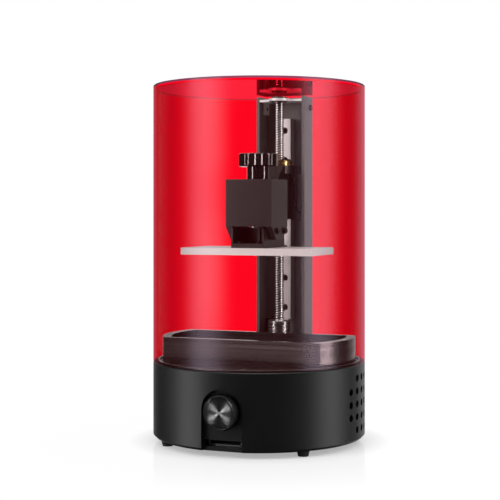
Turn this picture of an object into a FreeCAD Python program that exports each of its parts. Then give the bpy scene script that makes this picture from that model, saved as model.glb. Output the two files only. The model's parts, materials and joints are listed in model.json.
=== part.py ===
import FreeCAD, Part
import math
import os
from types import SimpleNamespace

import Sketcher

# Desktop resin printer: a round base with a control knob, a see-through cover standing on it, and under the cover
# a vat, a tower with rail and lead screw, and an arm that carries the build plate.
# Millimetres. The axis of the round base is Z, the floor is z = 0, and the control knob faces -Y.

SIZES = {
    # Round base
    "body_radius": 85,
    "housing_height": 59.7,
    "housing_wall": 3,
    "housing_lower_edge": 2,
    "housing_upper_edge": 0.8,
    "ledge_width": 3,
    "ledge_height": 3,
    "bottom_plate_thickness": 2.5,
    "deck_thickness": 3,
    "deck_ring_width": 1.7,
    "deck_ring_height": 1.2,
    # Feet and the bosses above them
    "foot_height": 4.5,
    "foot_radius": 5,
    "foot_tip_radius": 4,
    "foot_inset": 5,
    "foot_angle": 47,
    "foot_socket_depth": 2.4,
    "boss_radius": 5.5,
    # Cover
    "cover_height": 220.3,
    "cover_wall": 3,
    "cover_top_thickness": 3,
    # Room between pieces
    "fit_gap": 0.2,
    "running_gap": 0.08,
    "slide_gap": 0.3,
    "screw_gap": 0.1,
    "cut_run": 1,
    # Screws
    "screw_radius": 1.5,
    "screw_head_radius": 2.5,
    "screw_head_height": 1.8,
    "screw_grip": 5,
    # Front recess, control knob and encoder
    "front_shift": 2.6,
    "recess_width": 32.4,
    "recess_height": 46.8,
    "recess_depth": 4.6,
    "recess_panel": 5,
    "well_radius": 14.2,
    "well_depth": 2,
    "knob_level": 29.6,
    "knob_radius": 13,
    "knob_length": 8.3,
    "knob_edge": 0.7,
    "knob_push": 1,
    "knob_face_radius": 12,
    "knob_face_thickness": 1,
    "knob_bore_depth": 6,
    "encoder_width": 12,
    "encoder_depth": 6.5,
    "encoder_front": 1.9,
    "encoder_bush_radius": 3.5,
    "encoder_bush_end": 0.2,
    "encoder_shaft_radius": 2.8,
    "encoder_rotor_radius": 5,
    "encoder_rotor_length": 2.8,
    "control_board_width": 32,
    "control_board_height": 38,
    "board_thickness": 1.6,
    "bracket_thickness": 1.6,
    "bracket_width": 34,
    "bracket_flange": 12,
    "bracket_screw_spread": 20,
    "bracket_screw_inset": 3.4,
    # Card slot and socket
    "slot_width": 30.4,
    "slot_height": 4.9,
    "slot_level": 5.75,
    "socket_width": 28,
    "socket_height": 6.5,
    "socket_length": 26,
    "card_width": 24.6,
    "card_gap": 2.6,
    "card_depth": 22,
    # Vents
    "vent_radius": 2.8,
    "vent_pitch": 10,
    "vent_angle": 7.3,
    "vent_lean": 2.7,
    "vent_level": 29.7,
    # Power inlet at the back
    "inlet_level": 12.5,
    "inlet_width": 16,
    "inlet_recess": 2.5,
    "inlet_panel": 3,
    "inlet_radius": 5.3,
    "inlet_length": 13,
    "inlet_flange_radius": 6.8,
    "inlet_flange": 1.4,
    "inlet_bore": 3,
    "inlet_depth": 10,
    "inlet_pin": 1,
    # Build plate and vat
    "plate_length": 111,
    "plate_width": 54,
    "plate_thickness": 5.5,
    "plate_offset": 4,
    "plate_lift": 85,
    "plate_edge": 0.6,
    "vat_front_room": 6,
    "vat_back_room": 1.5,
    "vat_wall": 4,
    "vat_end_wall": 7,
    "vat_side_room": 4.5,
    "vat_height": 16.7,
    "vat_edge": 0.8,
    "vat_screw_radius": 1.25,
    "vat_screw_head": 2.3,
    "film_thickness": 0.3,
    "film_ring_thickness": 2.5,
    # Screen and lamp under the deck
    "screen_length": 106,
    "screen_margin": 1.75,
    "panel_thickness": 2.2,
    "glass_thickness": 3.2,
    "tunnel_inset": 1,
    "tunnel_wall": 2,
    "tunnel_flange": 2.5,
    "tunnel_flange_height": 2,
    "lamp_radius": 1.6,
    "lamp_height": 1.5,
    "lamp_pitch": 16,
    "sink_base": 3,
    "sink_fin_height": 10.4,
    "sink_fin_thickness": 2,
    "sink_room": 2,
    # Main board beside the tunnel
    "main_board_length": 56,
    "main_board_height": 40,
    "main_board_drop": 4,
    "main_board_inset": 16,
    "spacer_radius": 2.5,
    "spacer_inset": 8,
    "chip_width": 14,
    "chip_pitch": 17.5,
    "chip_height": 3,
    # Fan behind the vents
    "fan_width": 40,
    "fan_depth": 10,
    "fan_inset": 6,
    "fan_bore": 19,
    "fan_rotor_radius": 18,
    "fan_hub_radius": 9,
    "fan_hub_wall": 1.5,
    "fan_spoke": 3,
    "fan_pin_radius": 1.2,
    "fan_blade_thickness": 1,
    "fan_blade_height": 5.6,
    "fan_blade_tilt": 35,
    "fan_screw_spread": 32,
    "fan_bracket_foot": 9,
    # Lifting motor and lead screw
    "motor_width": 42.3,
    "motor_length": 34,
    "motor_corner": 4,
    "motor_room": 0.6,
    "motor_pilot_radius": 11,
    "motor_pilot_height": 2,
    "motor_screw_spread": 31,
    "motor_shaft_radius": 2.5,
    "motor_shaft_sunk": 20,
    "motor_shaft_rise": 15,
    "coupler_radius": 9,
    "coupler_length": 25,
    "coupler_lift": 3.5,
    "coupler_edge": 0.8,
    "coupler_core": 1,
    "lead_radius": 4,
    # Tower with rail
    "tower_width": 43,
    "tower_depth": 20.5,
    "tower_wall": 2.5,
    "tower_floor": 2.5,
    "tower_floor_depth": 10,
    "tower_screw_spread": 16,
    "tower_top_room": 1,
    "top_plate_thickness": 2,
    "top_plate_drop": 2.3,
    "top_plate_tab": 10,
    "top_plate_tab_depth": 9,
    "bearing_radius": 6.5,
    "bearing_length": 5,
    "tongue_radius": 9,
    "rail_width": 12,
    "rail_height": 8,
    "rail_groove": 0.8,
    "rail_edge": 0.4,
    "rail_start": 28,
    "rail_end": 18.3,
    "rail_hole_pitch": 25,
    "rail_hole_inset": 10,
    "rail_counterbore": 4.5,
    "rail_counterbore_radius": 3,
    "switch_width": 9,
    "switch_depth": 7,
    "switch_height": 12,
    "switch_shift": 12.5,
    "switch_button": 2,
    "switch_button_radius": 1,
    # Carriage, arm and lead nut
    "carriage_width": 27,
    "carriage_height": 13,
    "carriage_thickness": 10,
    "carriage_length": 31.2,
    "carriage_rise": 27.7,
    "cap_length": 6.7,
    "cap_step": 0.5,
    "carriage_to_lead": 8,
    "arm_width": 16,
    "arm_flange": 4,
    "arm_front_width": 32,
    "arm_front_step": 7,
    "arm_screw_spread": 21.4,
    "arm_screw_pitch": 20,
    "arm_front_spread": 24,
    "arm_front_pitch": 14,
    "arm_under": 9.4,
    "nut_seat": 50.4,
    "nut_radius": 5.1,
    "nut_flange_radius": 11,
    "nut_flange": 3.5,
    "nut_collar": 1.5,
    "nut_drop": 10,
    "nut_boss_height": 7,
    "nut_screw_circle": 8,
    "nut_screw_angle": 45,
    # Platform: joint block, ball stud, saddle and knob
    "block_width": 27.7,
    "block_height": 15.5,
    "block_front": 21.5,
    "block_back": 24.9,
    "block_pocket_width": 8.2,
    "block_pocket_depth": 10.5,
    "block_front_depth": 22,
    "block_rib": 8,
    "block_rib_inset": 16.5,
    "block_floor": 3.5,
    "saddle_gap": 1.6,
    "saddle_width": 39,
    "saddle_height": 37.4,
    "saddle_front": 18.9,
    "saddle_back": 17.2,
    "cheek_gap": 0.65,
    "cheek_drop": 10.6,
    "cheek_corner": 10.5,
    "clamp_screw_drop": 3.6,
    "clamp_screw_front": 6.5,
    "clamp_screw_back": 10.6,
    "ball_radius": 7,
    "ball_lift": 7.4,
    "stud_radius": 4,
    "stud_flange_radius": 8.5,
    "stud_flange": 1.2,
    "stud_thread_radius": 3,
    "stud_thread_length": 8,
    "retainer_radius": 13,
    "retainer_height": 2.9,
    "retainer_hole": 5.6,
    "pivot_shift": 2,
    "clamp_knob_radius": 16,
    "clamp_knob_height": 10.5,
    "clamp_knob_edge": 1.2,
    "clamp_neck_radius": 9,
    "clamp_neck_height": 10.2,
    "clamp_stem_radius": 3,
    "clamp_flute_radius": 4.5,
    "clamp_flute_circle": 18.6,
}

FAN_BLADES = 7
CLAMP_FLUTES = 8
SINK_FINS = 12
LAMP_ROWS = 3
LAMP_COLUMNS = 6
VENT_COLUMNS = {-2: 1, -1: 2, 0: 2, 1: 2, 2: 1}
FULL_TURN = 360

doc = FreeCAD.newDocument("resin_printer")
sheet = doc.addObject("Spreadsheet::Sheet", "sizes")
for row, (name, number) in enumerate(SIZES.items(), start=1):
    sheet.set(f"A{row}", name)
    sheet.set(f"B{row}", str(number))
    sheet.setAlias(f"B{row}", name)
doc.recompute()


class Size:
    """A length or an angle: its value, and the formula on the sheet that gives it."""

    def __init__(self, value, text):
        self.value = value
        self.text = text

    def __add__(self, other):
        other = as_size(other)
        return Size(self.value + other.value, f"({self.text} + {other.text})")

    def __sub__(self, other):
        other = as_size(other)
        return Size(self.value - other.value, f"({self.text} - {other.text})")

    def __mul__(self, other):
        other = as_size(other)
        return Size(self.value * other.value, f"({self.text} * {other.text})")

    def __truediv__(self, other):
        other = as_size(other)
        return Size(self.value / other.value, f"({self.text} / {other.text})")

    def __neg__(self):
        return Size(-self.value, f"(0 - {self.text})")


def as_size(item):
    return item if isinstance(item, Size) else Size(float(item), f"({item})")


def cosine(angle):
    return Size(math.cos(math.radians(angle.value)), f"cos({angle.text})")


def sine(angle):
    return Size(math.sin(math.radians(angle.value)), f"sin({angle.text})")


size = SimpleNamespace(**{name: Size(number, f"sizes.{name}") for name, number in SIZES.items()})
zero = as_size(0)

DIRECTIONS = {
    "+Z": FreeCAD.Rotation(),
    "-Z": FreeCAD.Rotation(FreeCAD.Vector(1, 0, 0), 180),
    "+X": FreeCAD.Rotation(FreeCAD.Vector(0, 1, 0), 90),
    "-X": FreeCAD.Rotation(FreeCAD.Vector(0, 1, 0), -90),
    "+Y": FreeCAD.Rotation(FreeCAD.Vector(1, 0, 0), -90),
    "-Y": FreeCAD.Rotation(FreeCAD.Vector(1, 0, 0), 90),
}

nodes = []


def node(label, item):
    """Names a finished piece."""
    item.Label = label
    nodes.append(item)
    return item


def place(item, point, facing="+Z"):
    """Turns an item's own Z to a direction and moves its origin to a point of sizes."""
    item.Placement = FreeCAD.Placement(FreeCAD.Vector(), DIRECTIONS[facing])
    for letter, length in zip("xyz", point):
        item.setExpression(f"Placement.Base.{letter}", as_size(length).text)
    return item


def block(x, y, z):
    """A box between the low and high limits on each axis."""
    item = doc.addObject("Part::Box", "block")
    for name, (low, high) in zip(("Length", "Width", "Height"), (x, y, z)):
        item.setExpression(name, (as_size(high) - low).text)
    return place(item, (x[0], y[0], z[0]))


def about(centre, width):
    """The limits of a width about a centre."""
    half = as_size(width) / 2
    return as_size(centre) - half, as_size(centre) + half


def rod(radius, start, length, facing="+Z"):
    item = doc.addObject("Part::Cylinder", "rod")
    item.setExpression("Radius", as_size(radius).text)
    item.setExpression("Height", as_size(length).text)
    return place(item, start, facing)


def taper(start_radius, end_radius, start, length, facing="+Z"):
    item = doc.addObject("Part::Cone", "taper")
    item.setExpression("Radius1", as_size(start_radius).text)
    item.setExpression("Radius2", as_size(end_radius).text)
    item.setExpression("Height", as_size(length).text)
    return place(item, start, facing)


def ball(radius, centre):
    item = doc.addObject("Part::Sphere", "ball")
    item.setExpression("Radius", as_size(radius).text)
    return place(item, centre)


def fuse(*items):
    item = doc.addObject("Part::MultiFuse", "fuse")
    item.Shapes = list(items)
    return item


def common(*items):
    item = doc.addObject("Part::MultiCommon", "common")
    item.Shapes = list(items)
    return item


def cut(base, *tools):
    item = doc.addObject("Part::Cut", "cut")
    item.Base = base
    item.Tool = tools[0] if len(tools) == 1 else fuse(*tools)
    return item


def together(items):
    """Several separate solids as one item."""
    item = doc.addObject("Part::Compound", "together")
    item.Links = list(items)
    return item


def turned(items, axis, angle):
    """Items turned about an axis through the origin by an angle on the sheet."""
    item = together(items)
    angle = as_size(angle)
    item.Placement = FreeCAD.Placement(FreeCAD.Vector(), FreeCAD.Rotation(FreeCAD.Vector(*axis), angle.value))
    item.setExpression("Placement.Rotation.Angle", angle.text)
    return item


def tube(outer, inner, z, height):
    return cut(rod(outer, (0, 0, z), height), rod(inner, (0, 0, z), height))


def sketch_on(body, plane, offset=zero):
    sketch = body.newObject("Sketcher::SketchObject", "outline")
    support = next(item for item in body.Origin.OriginFeatures if item.Role == plane)
    sketch.AttachmentSupport = [(support, "")]
    sketch.MapMode = "FlatFace"
    sketch.setExpression("AttachmentOffset.Base.z", as_size(offset).text)
    return sketch


def draw(sketch, points):
    """A closed outline through points of sizes, each held from the sketch's origin."""
    points = [(as_size(across), as_size(up)) for across, up in points]
    corners = [FreeCAD.Vector(across.value, up.value, 0) for across, up in points]
    count = len(points)
    for index, corner in enumerate(corners):
        sketch.addGeometry(Part.LineSegment(corner, corners[(index + 1) % count]), False)
    for index in range(count):
        sketch.addConstraint(Sketcher.Constraint("Coincident", index, 2, (index + 1) % count, 1))
    for index, point in enumerate(points):
        for kind, length in zip(("DistanceX", "DistanceY"), point):
            held = sketch.addConstraint(Sketcher.Constraint(kind, -1, 1, index, 1, length.value))
            sketch.renameConstraint(held, f"{kind}_{index}")
            sketch.setExpression(f"Constraints.{kind}_{index}", length.text)
    return sketch


def padded(plane, points, length, offset=zero, symmetric=False):
    """A body made by padding one outline."""
    body = doc.addObject("PartDesign::Body", "padded")
    pad = body.newObject("PartDesign::Pad", "pad")
    pad.Profile = draw(sketch_on(body, plane, offset), points)
    pad.setExpression("Length", as_size(length).text)
    pad.SideType = "Symmetric" if symmetric else "One side"
    body.Tip = pad
    return body


def revolved(points):
    """A body made by turning an outline of (radius, height) points about its own Z."""
    body = doc.addObject("PartDesign::Body", "revolved")
    sketch = draw(sketch_on(body, "XZ_Plane"), points)
    turn = body.newObject("PartDesign::Revolution", "revolution")
    turn.Profile = sketch
    turn.ReferenceAxis = (sketch, ["V_Axis"])
    turn.Angle = FULL_TURN
    body.Tip = turn
    return body


def screw(seat, facing, length, radius=size.screw_radius, head=size.screw_head_radius):
    """A screw whose head sits on a seat and whose shank runs in the facing direction."""
    back = {"+": "-", "-": "+"}[facing[0]] + facing[1]
    return fuse(rod(radius, seat, length, facing), rod(head, seat, size.screw_head_height, back))


def screw_hole(seat, facing, length, radius=size.screw_radius):
    return rod(radius + size.screw_gap, seat, length, facing)


def screw_seat(seat, facing, head=size.screw_head_radius):
    """The sunk seat that takes a screw's head and leaves it flush."""
    back = {"+": "-", "-": "+"}[facing[0]] + facing[1]
    return rod(head + size.screw_gap, seat, size.screw_head_height, back)


# Levels and places that several pieces share
housing_bottom = size.foot_height
rim = size.foot_height + size.housing_height
deck_bottom = rim - size.deck_thickness
floor_top = housing_bottom + size.bottom_plate_thickness
inner_radius = size.body_radius - size.housing_wall
cover_inner = size.body_radius - size.cover_wall
cover_underside = rim + size.cover_height - size.cover_top_thickness

front_x = size.front_shift
recess_plane = -(size.body_radius - size.recess_depth)
panel_back = recess_plane + size.recess_panel
well_floor = recess_plane + size.well_depth
knob_axis = housing_bottom + size.knob_level
knob_back = well_floor - size.knob_push - size.slide_gap
encoder_back = panel_back + size.encoder_depth
board_back = encoder_back + size.board_thickness
bracket_back = board_back + size.bracket_thickness
bracket_screw_y = bracket_back + size.bracket_screw_inset - size.bracket_thickness

plate_bottom = rim + size.plate_lift
plate_top = plate_bottom + size.plate_thickness
plate_y = -size.plate_offset
plate_front = plate_y - size.plate_width / 2
plate_rear = plate_y + size.plate_width / 2
cavity_front = plate_front - size.vat_front_room
cavity_rear = plate_rear + size.vat_back_room
vat_front = cavity_front - size.vat_wall
vat_rear = cavity_rear + size.vat_wall
vat_y = (cavity_front + cavity_rear) / 2
vat_radius = cover_inner - size.vat_side_room
cavity_radius = vat_radius - size.vat_end_wall
film_bottom = rim + size.film_ring_thickness
vat_bottom = film_bottom + size.film_thickness
vat_top = vat_bottom + size.vat_height
vat_screw_x = vat_radius - size.vat_end_wall / 2

screen_width = cavity_rear - cavity_front - size.screen_margin * 2
tunnel_length = size.screen_length - size.tunnel_inset * 2
tunnel_width = screen_width - size.tunnel_inset * 2
sink_bottom = floor_top + size.sink_room
sink_top = sink_bottom + size.sink_fin_height + size.sink_base
tunnel_bottom = sink_top + size.board_thickness

lead_y = vat_y + tunnel_width / 2 + size.tunnel_flange + size.motor_room + size.motor_width / 2
carriage_face = lead_y + size.carriage_to_lead
rail_back = carriage_face + size.carriage_height
rail_face = rail_back - size.rail_height
tower_back = rail_back + size.tower_wall
tower_front = tower_back - size.tower_depth
tower_top = cover_underside - size.tower_top_room
tower_inner_width = size.tower_width - size.tower_wall * 2
top_plate_top = tower_top - size.top_plate_drop
top_plate_bottom = top_plate_top - size.top_plate_thickness
rail_bottom = rim + size.rail_start
rail_top = tower_top - size.rail_end
coupler_bottom = rim + size.coupler_lift
coupler_top = coupler_bottom + size.coupler_length
coupler_middle = coupler_bottom + size.coupler_length / 2

block_top = plate_top + size.block_height
saddle_bottom = block_top + size.saddle_gap
saddle_top = saddle_bottom + size.saddle_height
saddle_front = plate_y - size.saddle_front
saddle_rear = plate_y + size.saddle_back
pivot_y = -size.pivot_shift
pivot_z = saddle_bottom + size.ball_lift
carriage_middle = saddle_bottom + size.carriage_rise
nut_seat = saddle_bottom + size.nut_seat
arm_rear = carriage_face - size.arm_flange
arm_bottom = saddle_bottom + size.arm_under

fan_z = housing_bottom + size.vent_level
fan_outer = inner_radius - size.fan_inset
fan_inner = fan_outer - size.fan_depth
fan_bracket_face = fan_inner - size.bracket_thickness


def around(radius, angle):
    """Four places on a circle, at an angle to the front and back on both sides."""
    across = radius * sine(angle)
    along = radius * cosine(angle)
    return [(across, along), (-across, along), (across, -along), (-across, -along)]


foot_places = around(inner_radius - size.foot_inset, size.foot_angle)


def base_housing():
    """Round shell with the flat arched recess in front, vents at both sides and the inlet panel behind."""
    lower = size.body_radius - size.housing_lower_edge
    upper = size.body_radius - size.housing_upper_edge
    form = revolved([
        (zero, housing_bottom),
        (lower, housing_bottom),
        (size.body_radius, housing_bottom + size.housing_lower_edge),
        (size.body_radius, rim - size.housing_upper_edge),
        (upper, rim),
        (zero, rim),
    ])
    hollow = rod(inner_radius, (0, 0, housing_bottom - size.cut_run), size.housing_height + size.cut_run * 2)
    shell = cut(form, hollow)
    ledge_radius = inner_radius - size.ledge_width
    ledge_bottom = deck_bottom - size.ledge_height
    ledge = tube(inner_radius + size.housing_wall / 2, ledge_radius, ledge_bottom, size.ledge_height)
    bosses = [rod(size.boss_radius, (x, y, floor_top), deck_bottom - floor_top) for x, y in foot_places]

    arch_z = housing_bottom + size.recess_height - size.recess_width / 2
    panel_half = size.recess_width / 2 + size.housing_wall
    panel_y = (-size.body_radius, panel_back)
    panel = common(form, fuse(
        block((front_x - panel_half, front_x + panel_half), panel_y, (housing_bottom, arch_z)),
        rod(panel_half, (front_x, panel_back, arch_z), size.recess_depth + size.recess_panel, "-Y"),
    ))
    recess_y = (-size.body_radius - size.cut_run, recess_plane)
    recess = [
        block(about(front_x, size.recess_width), recess_y, (housing_bottom - size.cut_run, arch_z)),
        rod(size.recess_width / 2, (front_x, recess_plane, arch_z), size.recess_depth + size.cut_run, "-Y"),
        rod(size.well_radius, (front_x, well_floor, knob_axis), size.well_depth + size.cut_run, "-Y"),
        rod(size.encoder_bush_radius + size.screw_gap, (front_x, panel_back, knob_axis), size.recess_panel, "-Y"),
    ]
    slot_z = about(housing_bottom + size.slot_level, size.slot_height)
    slot = block(about(front_x, size.slot_width), (recess_plane - size.cut_run, panel_back + size.cut_run), slot_z)

    inlet_z = housing_bottom + size.inlet_level
    inlet_plane = size.body_radius - size.inlet_recess
    inlet_back = inlet_plane - size.inlet_panel
    inlet_half = size.inlet_width / 2 + size.housing_wall
    inlet_panel = common(form, block(
        (-inlet_half, inlet_half),
        (inlet_back, size.body_radius),
        about(inlet_z, size.inlet_width),
    ))
    inlet_cut = [
        block(about(0, size.inlet_width), (inlet_plane, size.body_radius + size.cut_run),
              about(inlet_z, size.inlet_width)),
        rod(size.inlet_radius + size.screw_gap, (0, inlet_back - size.cut_run, inlet_z), size.inlet_panel * 2, "+Y"),
    ]

    vents = []
    vent_start = inner_radius - size.cut_run
    vent_run = size.housing_wall + size.cut_run * 2
    for side, lean in ((0, size.vent_lean), (FULL_TURN / 2, -size.vent_lean)):
        for column, reach in VENT_COLUMNS.items():
            holes = []
            for row in range(-reach, reach + 1):
                level = fan_z + size.vent_pitch * row
                holes.append(rod(size.vent_radius, (vent_start, 0, level), vent_run, "+X"))
            vents.append(turned(holes, (0, 0, 1), size.vent_angle * column + lean + side + FULL_TURN))

    screw_holes = []
    for x, y in foot_places:
        screw_holes.append(screw_hole((x, y, floor_top), "+Z", size.screw_grip * 2))
        screw_holes.append(screw_hole((x, y, deck_bottom), "-Z", size.screw_grip * 2))
    whole = fuse(shell, ledge, panel, inlet_panel, *bosses)
    return node("base_housing", cut(whole, *recess, slot, *inlet_cut, *vents, *screw_holes))


def bottom_and_feet():
    """Plate that closes the base from below, its feet and the screws that hold both."""
    disc = rod(inner_radius - size.fit_gap, (0, 0, housing_bottom), size.bottom_plate_thickness)
    span = size.body_radius + size.cut_run
    notch = block((-span, span), (-span, panel_back + size.fit_gap),
                  (housing_bottom - size.cut_run, floor_top + size.cut_run))
    holes = [screw_hole((x, y, housing_bottom - size.cut_run), "+Z", size.bottom_plate_thickness + size.cut_run * 2)
             for x, y in foot_places]
    node("bottom_plate", cut(disc, notch, *holes))

    head_seat = size.foot_socket_depth
    feet = []
    screws = []
    for x, y in foot_places:
        foot = taper(size.foot_tip_radius, size.foot_radius, (x, y, 0), size.foot_height)
        socket = rod(size.screw_head_radius + size.screw_gap, (x, y, -size.cut_run), head_seat + size.cut_run)
        feet.append(cut(foot, socket, screw_hole((x, y, 0), "+Z", size.foot_height)))
        reach = floor_top - head_seat + size.screw_grip
        screws.append(screw((x, y, head_seat), "+Z", reach))
    node("rubber_feet", together(feet))
    node("foot_screws", together(screws))


def deck():
    """Plate that closes the base on top, with the low ring that keeps the cover in place."""
    ring_outer = cover_inner - size.slide_gap
    ring = tube(ring_outer, ring_outer - size.deck_ring_width, rim, size.deck_ring_height)
    disc = rod(inner_radius - size.fit_gap, (0, 0, deck_bottom), size.deck_thickness)
    through = (deck_bottom - size.cut_run, rim + size.cut_run)
    window = block(
        about(0, size.screen_length + size.fit_gap * 2),
        about(vat_y, screen_width + size.fit_gap * 2),
        through,
    )
    depth = size.deck_thickness + size.cut_run * 2
    pilot = rod(size.motor_pilot_radius + size.fit_gap, (0, lead_y, deck_bottom - size.cut_run), depth)
    head_level = rim - size.screw_head_height
    holes = []
    for x, y in foot_places + motor_screw_places() + bracket_screw_places():
        holes.append(screw_hole((x, y, deck_bottom - size.cut_run), "+Z", depth))
        holes.append(screw_seat((x, y, head_level), "-Z"))
    for x, y in tower_screw_places():
        holes.append(screw_hole((x, y, deck_bottom - size.cut_run), "+Z", depth))
    for x, y in vat_screw_places():
        holes.append(screw_hole((x, y, deck_bottom - size.cut_run), "+Z", depth, size.vat_screw_radius))
    node("deck_plate", cut(fuse(disc, ring), window, pilot, *holes))

    reach = size.deck_thickness - size.screw_head_height + size.screw_grip
    node("deck_screws", together([screw((x, y, head_level), "-Z", reach) for x, y in foot_places]))


def motor_screw_places():
    half = size.motor_screw_spread / 2
    return [(x, lead_y + y) for x in (-half, half) for y in (-half, half)]


def bracket_screw_places():
    half = size.bracket_screw_spread / 2
    return [(front_x - half, bracket_screw_y), (front_x + half, bracket_screw_y)]


def tower_screw_places():
    half = size.tower_screw_spread / 2
    y = rail_back - size.tower_floor_depth / 2
    return [(-half, y), (half, y)]


def vat_screw_places():
    return [(-vat_screw_x, vat_y), (vat_screw_x, vat_y)]


def front_controls():
    """Knob, encoder, the board behind it and the bracket that hangs the board from the deck."""
    bore = size.encoder_shaft_radius + size.running_gap
    edge = size.knob_edge
    face_bottom = size.knob_length - size.knob_face_thickness
    knob = revolved([
        (bore, zero),
        (size.knob_radius - edge, zero),
        (size.knob_radius, edge),
        (size.knob_radius, size.knob_length - edge),
        (size.knob_radius - edge, size.knob_length),
        (size.knob_face_radius, size.knob_length),
        (size.knob_face_radius, face_bottom),
        (zero, face_bottom),
        (zero, size.knob_bore_depth),
        (bore, size.knob_bore_depth),
    ])
    node("control_knob", place(knob, (front_x, knob_back, knob_axis), "-Y"))
    face_y = knob_back - face_bottom
    face_radius = size.knob_face_radius - size.running_gap
    face = rod(face_radius, (front_x, face_y, knob_axis), size.knob_face_thickness, "-Y")
    node("knob_face", face)

    cavity_start = panel_back + size.encoder_front
    cavity_length = size.encoder_rotor_length + size.running_gap * 2
    shaft_end = cavity_start + cavity_length - size.knob_push - size.running_gap
    shaft_start = knob_back - size.knob_bore_depth
    shaft = rod(size.encoder_shaft_radius, (front_x, shaft_start, knob_axis), shaft_end - shaft_start, "+Y")
    node("encoder_shaft", shaft)

    bush_length = size.recess_panel - size.well_depth - size.encoder_bush_end
    case = fuse(
        block(about(front_x, size.encoder_width), (panel_back, encoder_back), about(knob_axis, size.encoder_width)),
        rod(size.encoder_bush_radius, (front_x, panel_back, knob_axis), bush_length, "-Y"),
    )
    rotor_room = size.encoder_rotor_radius + size.running_gap
    cavity = rod(rotor_room, (front_x, cavity_start, knob_axis), cavity_length, "+Y")
    passage = rod(bore, (front_x, panel_back - bush_length - size.cut_run, knob_axis),
                  bush_length + size.cut_run + size.encoder_front + cavity_length / 2, "+Y")
    node("encoder_body", cut(case, cavity, passage))
    rotor_start = cavity_start + size.running_gap
    rotor = cut(
        rod(size.encoder_rotor_radius, (front_x, rotor_start, knob_axis), size.encoder_rotor_length, "+Y"),
        rod(bore, (front_x, rotor_start, knob_axis), size.encoder_rotor_length, "+Y"),
    )
    node("encoder_rotor", rotor)

    board_z = about(knob_axis, size.control_board_height)
    node("control_board", block(about(front_x, size.control_board_width), (encoder_back, board_back), board_z))
    flange_bottom = deck_bottom - size.bracket_thickness
    flange_rear = bracket_back + size.bracket_flange
    bracket = fuse(
        block(about(front_x, size.bracket_width), (board_back, bracket_back), (board_z[0], deck_bottom)),
        block(about(front_x, size.bracket_width), (board_back, flange_rear), (flange_bottom, deck_bottom)),
    )
    holes = [screw_hole((x, y, flange_bottom - size.cut_run), "+Z", size.bracket_thickness + size.cut_run * 2)
             for x, y in bracket_screw_places()]
    node("front_bracket", cut(bracket, *holes))
    head_level = rim - size.screw_head_height
    reach = head_level - flange_bottom + size.screw_grip / 2
    node("bracket_screws", together([screw((x, y, head_level), "-Z", reach) for x, y in bracket_screw_places()]))


def card_socket():
    """Metal socket behind the slot, open to the front."""
    front = panel_back + size.fit_gap
    shell = block(about(front_x, size.socket_width), (front, front + size.socket_length),
                  (floor_top, floor_top + size.socket_height))
    room = block(
        about(front_x, size.card_width),
        (front - size.cut_run, front + size.card_depth),
        about(floor_top + size.socket_height / 2, size.card_gap),
    )
    node("card_socket", cut(shell, room))


def power_inlet():
    """Round inlet with its centre pin in the panel at the back."""
    level = housing_bottom + size.inlet_level
    plane = size.body_radius - size.inlet_recess
    body = fuse(
        rod(size.inlet_radius, (0, plane, level), size.inlet_length, "-Y"),
        rod(size.inlet_flange_radius, (0, plane, level), size.inlet_flange, "+Y"),
    )
    front = plane + size.inlet_flange
    bore = rod(size.inlet_bore, (0, front, level), size.inlet_depth, "-Y")
    pin = rod(size.inlet_pin, (0, front - size.inlet_depth - size.cut_run, level), size.inlet_depth, "+Y")
    node("power_inlet", fuse(cut(body, bore), pin))


def screen_and_lamp():
    """Screen in the deck, and under it the light tunnel, lamp board and heat sink."""
    screen_x = about(0, size.screen_length)
    screen_y = about(vat_y, screen_width)
    panel_top = deck_bottom + size.panel_thickness
    node("screen_panel", block(screen_x, screen_y, (deck_bottom, panel_top)))
    node("screen_glass", block(screen_x, screen_y, (panel_top, panel_top + size.glass_thickness)))

    tunnel_x = about(0, tunnel_length)
    tunnel_y = about(vat_y, tunnel_width)
    flange = block(
        about(0, tunnel_length + size.tunnel_flange * 2),
        about(vat_y, tunnel_width + size.tunnel_flange * 2),
        (deck_bottom - size.tunnel_flange_height, deck_bottom),
    )
    inside = block(
        about(0, tunnel_length - size.tunnel_wall * 2),
        about(vat_y, tunnel_width - size.tunnel_wall * 2),
        (tunnel_bottom - size.cut_run, deck_bottom + size.cut_run),
    )
    node("light_tunnel", cut(fuse(block(tunnel_x, tunnel_y, (tunnel_bottom, deck_bottom)), flange), inside))

    board = block(tunnel_x, tunnel_y, (sink_top, tunnel_bottom))
    lamps = []
    for column in range(LAMP_COLUMNS):
        for row in range(LAMP_ROWS):
            x = size.lamp_pitch * (column - (LAMP_COLUMNS - 1) / 2)
            y = vat_y + size.lamp_pitch * (row - (LAMP_ROWS - 1) / 2)
            lamps.append(rod(size.lamp_radius, (x, y, tunnel_bottom), size.lamp_height))
    node("lamp_board", together([board] + lamps))

    half = tunnel_length / 2
    step = (tunnel_length - size.sink_fin_thickness) / (SINK_FINS - 1)
    comb = [(half, sink_top), (-half, sink_top)]
    for fin in range(SINK_FINS):
        left = -half + step * fin
        right = left + size.sink_fin_thickness
        comb += [(left, sink_bottom), (right, sink_bottom)]
        if fin < SINK_FINS - 1:
            comb += [(right, sink_top - size.sink_base), (left + step, sink_top - size.sink_base)]
    node("heat_sink", padded("XZ_Plane", comb, tunnel_width, offset=-vat_y, symmetric=True))


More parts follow.
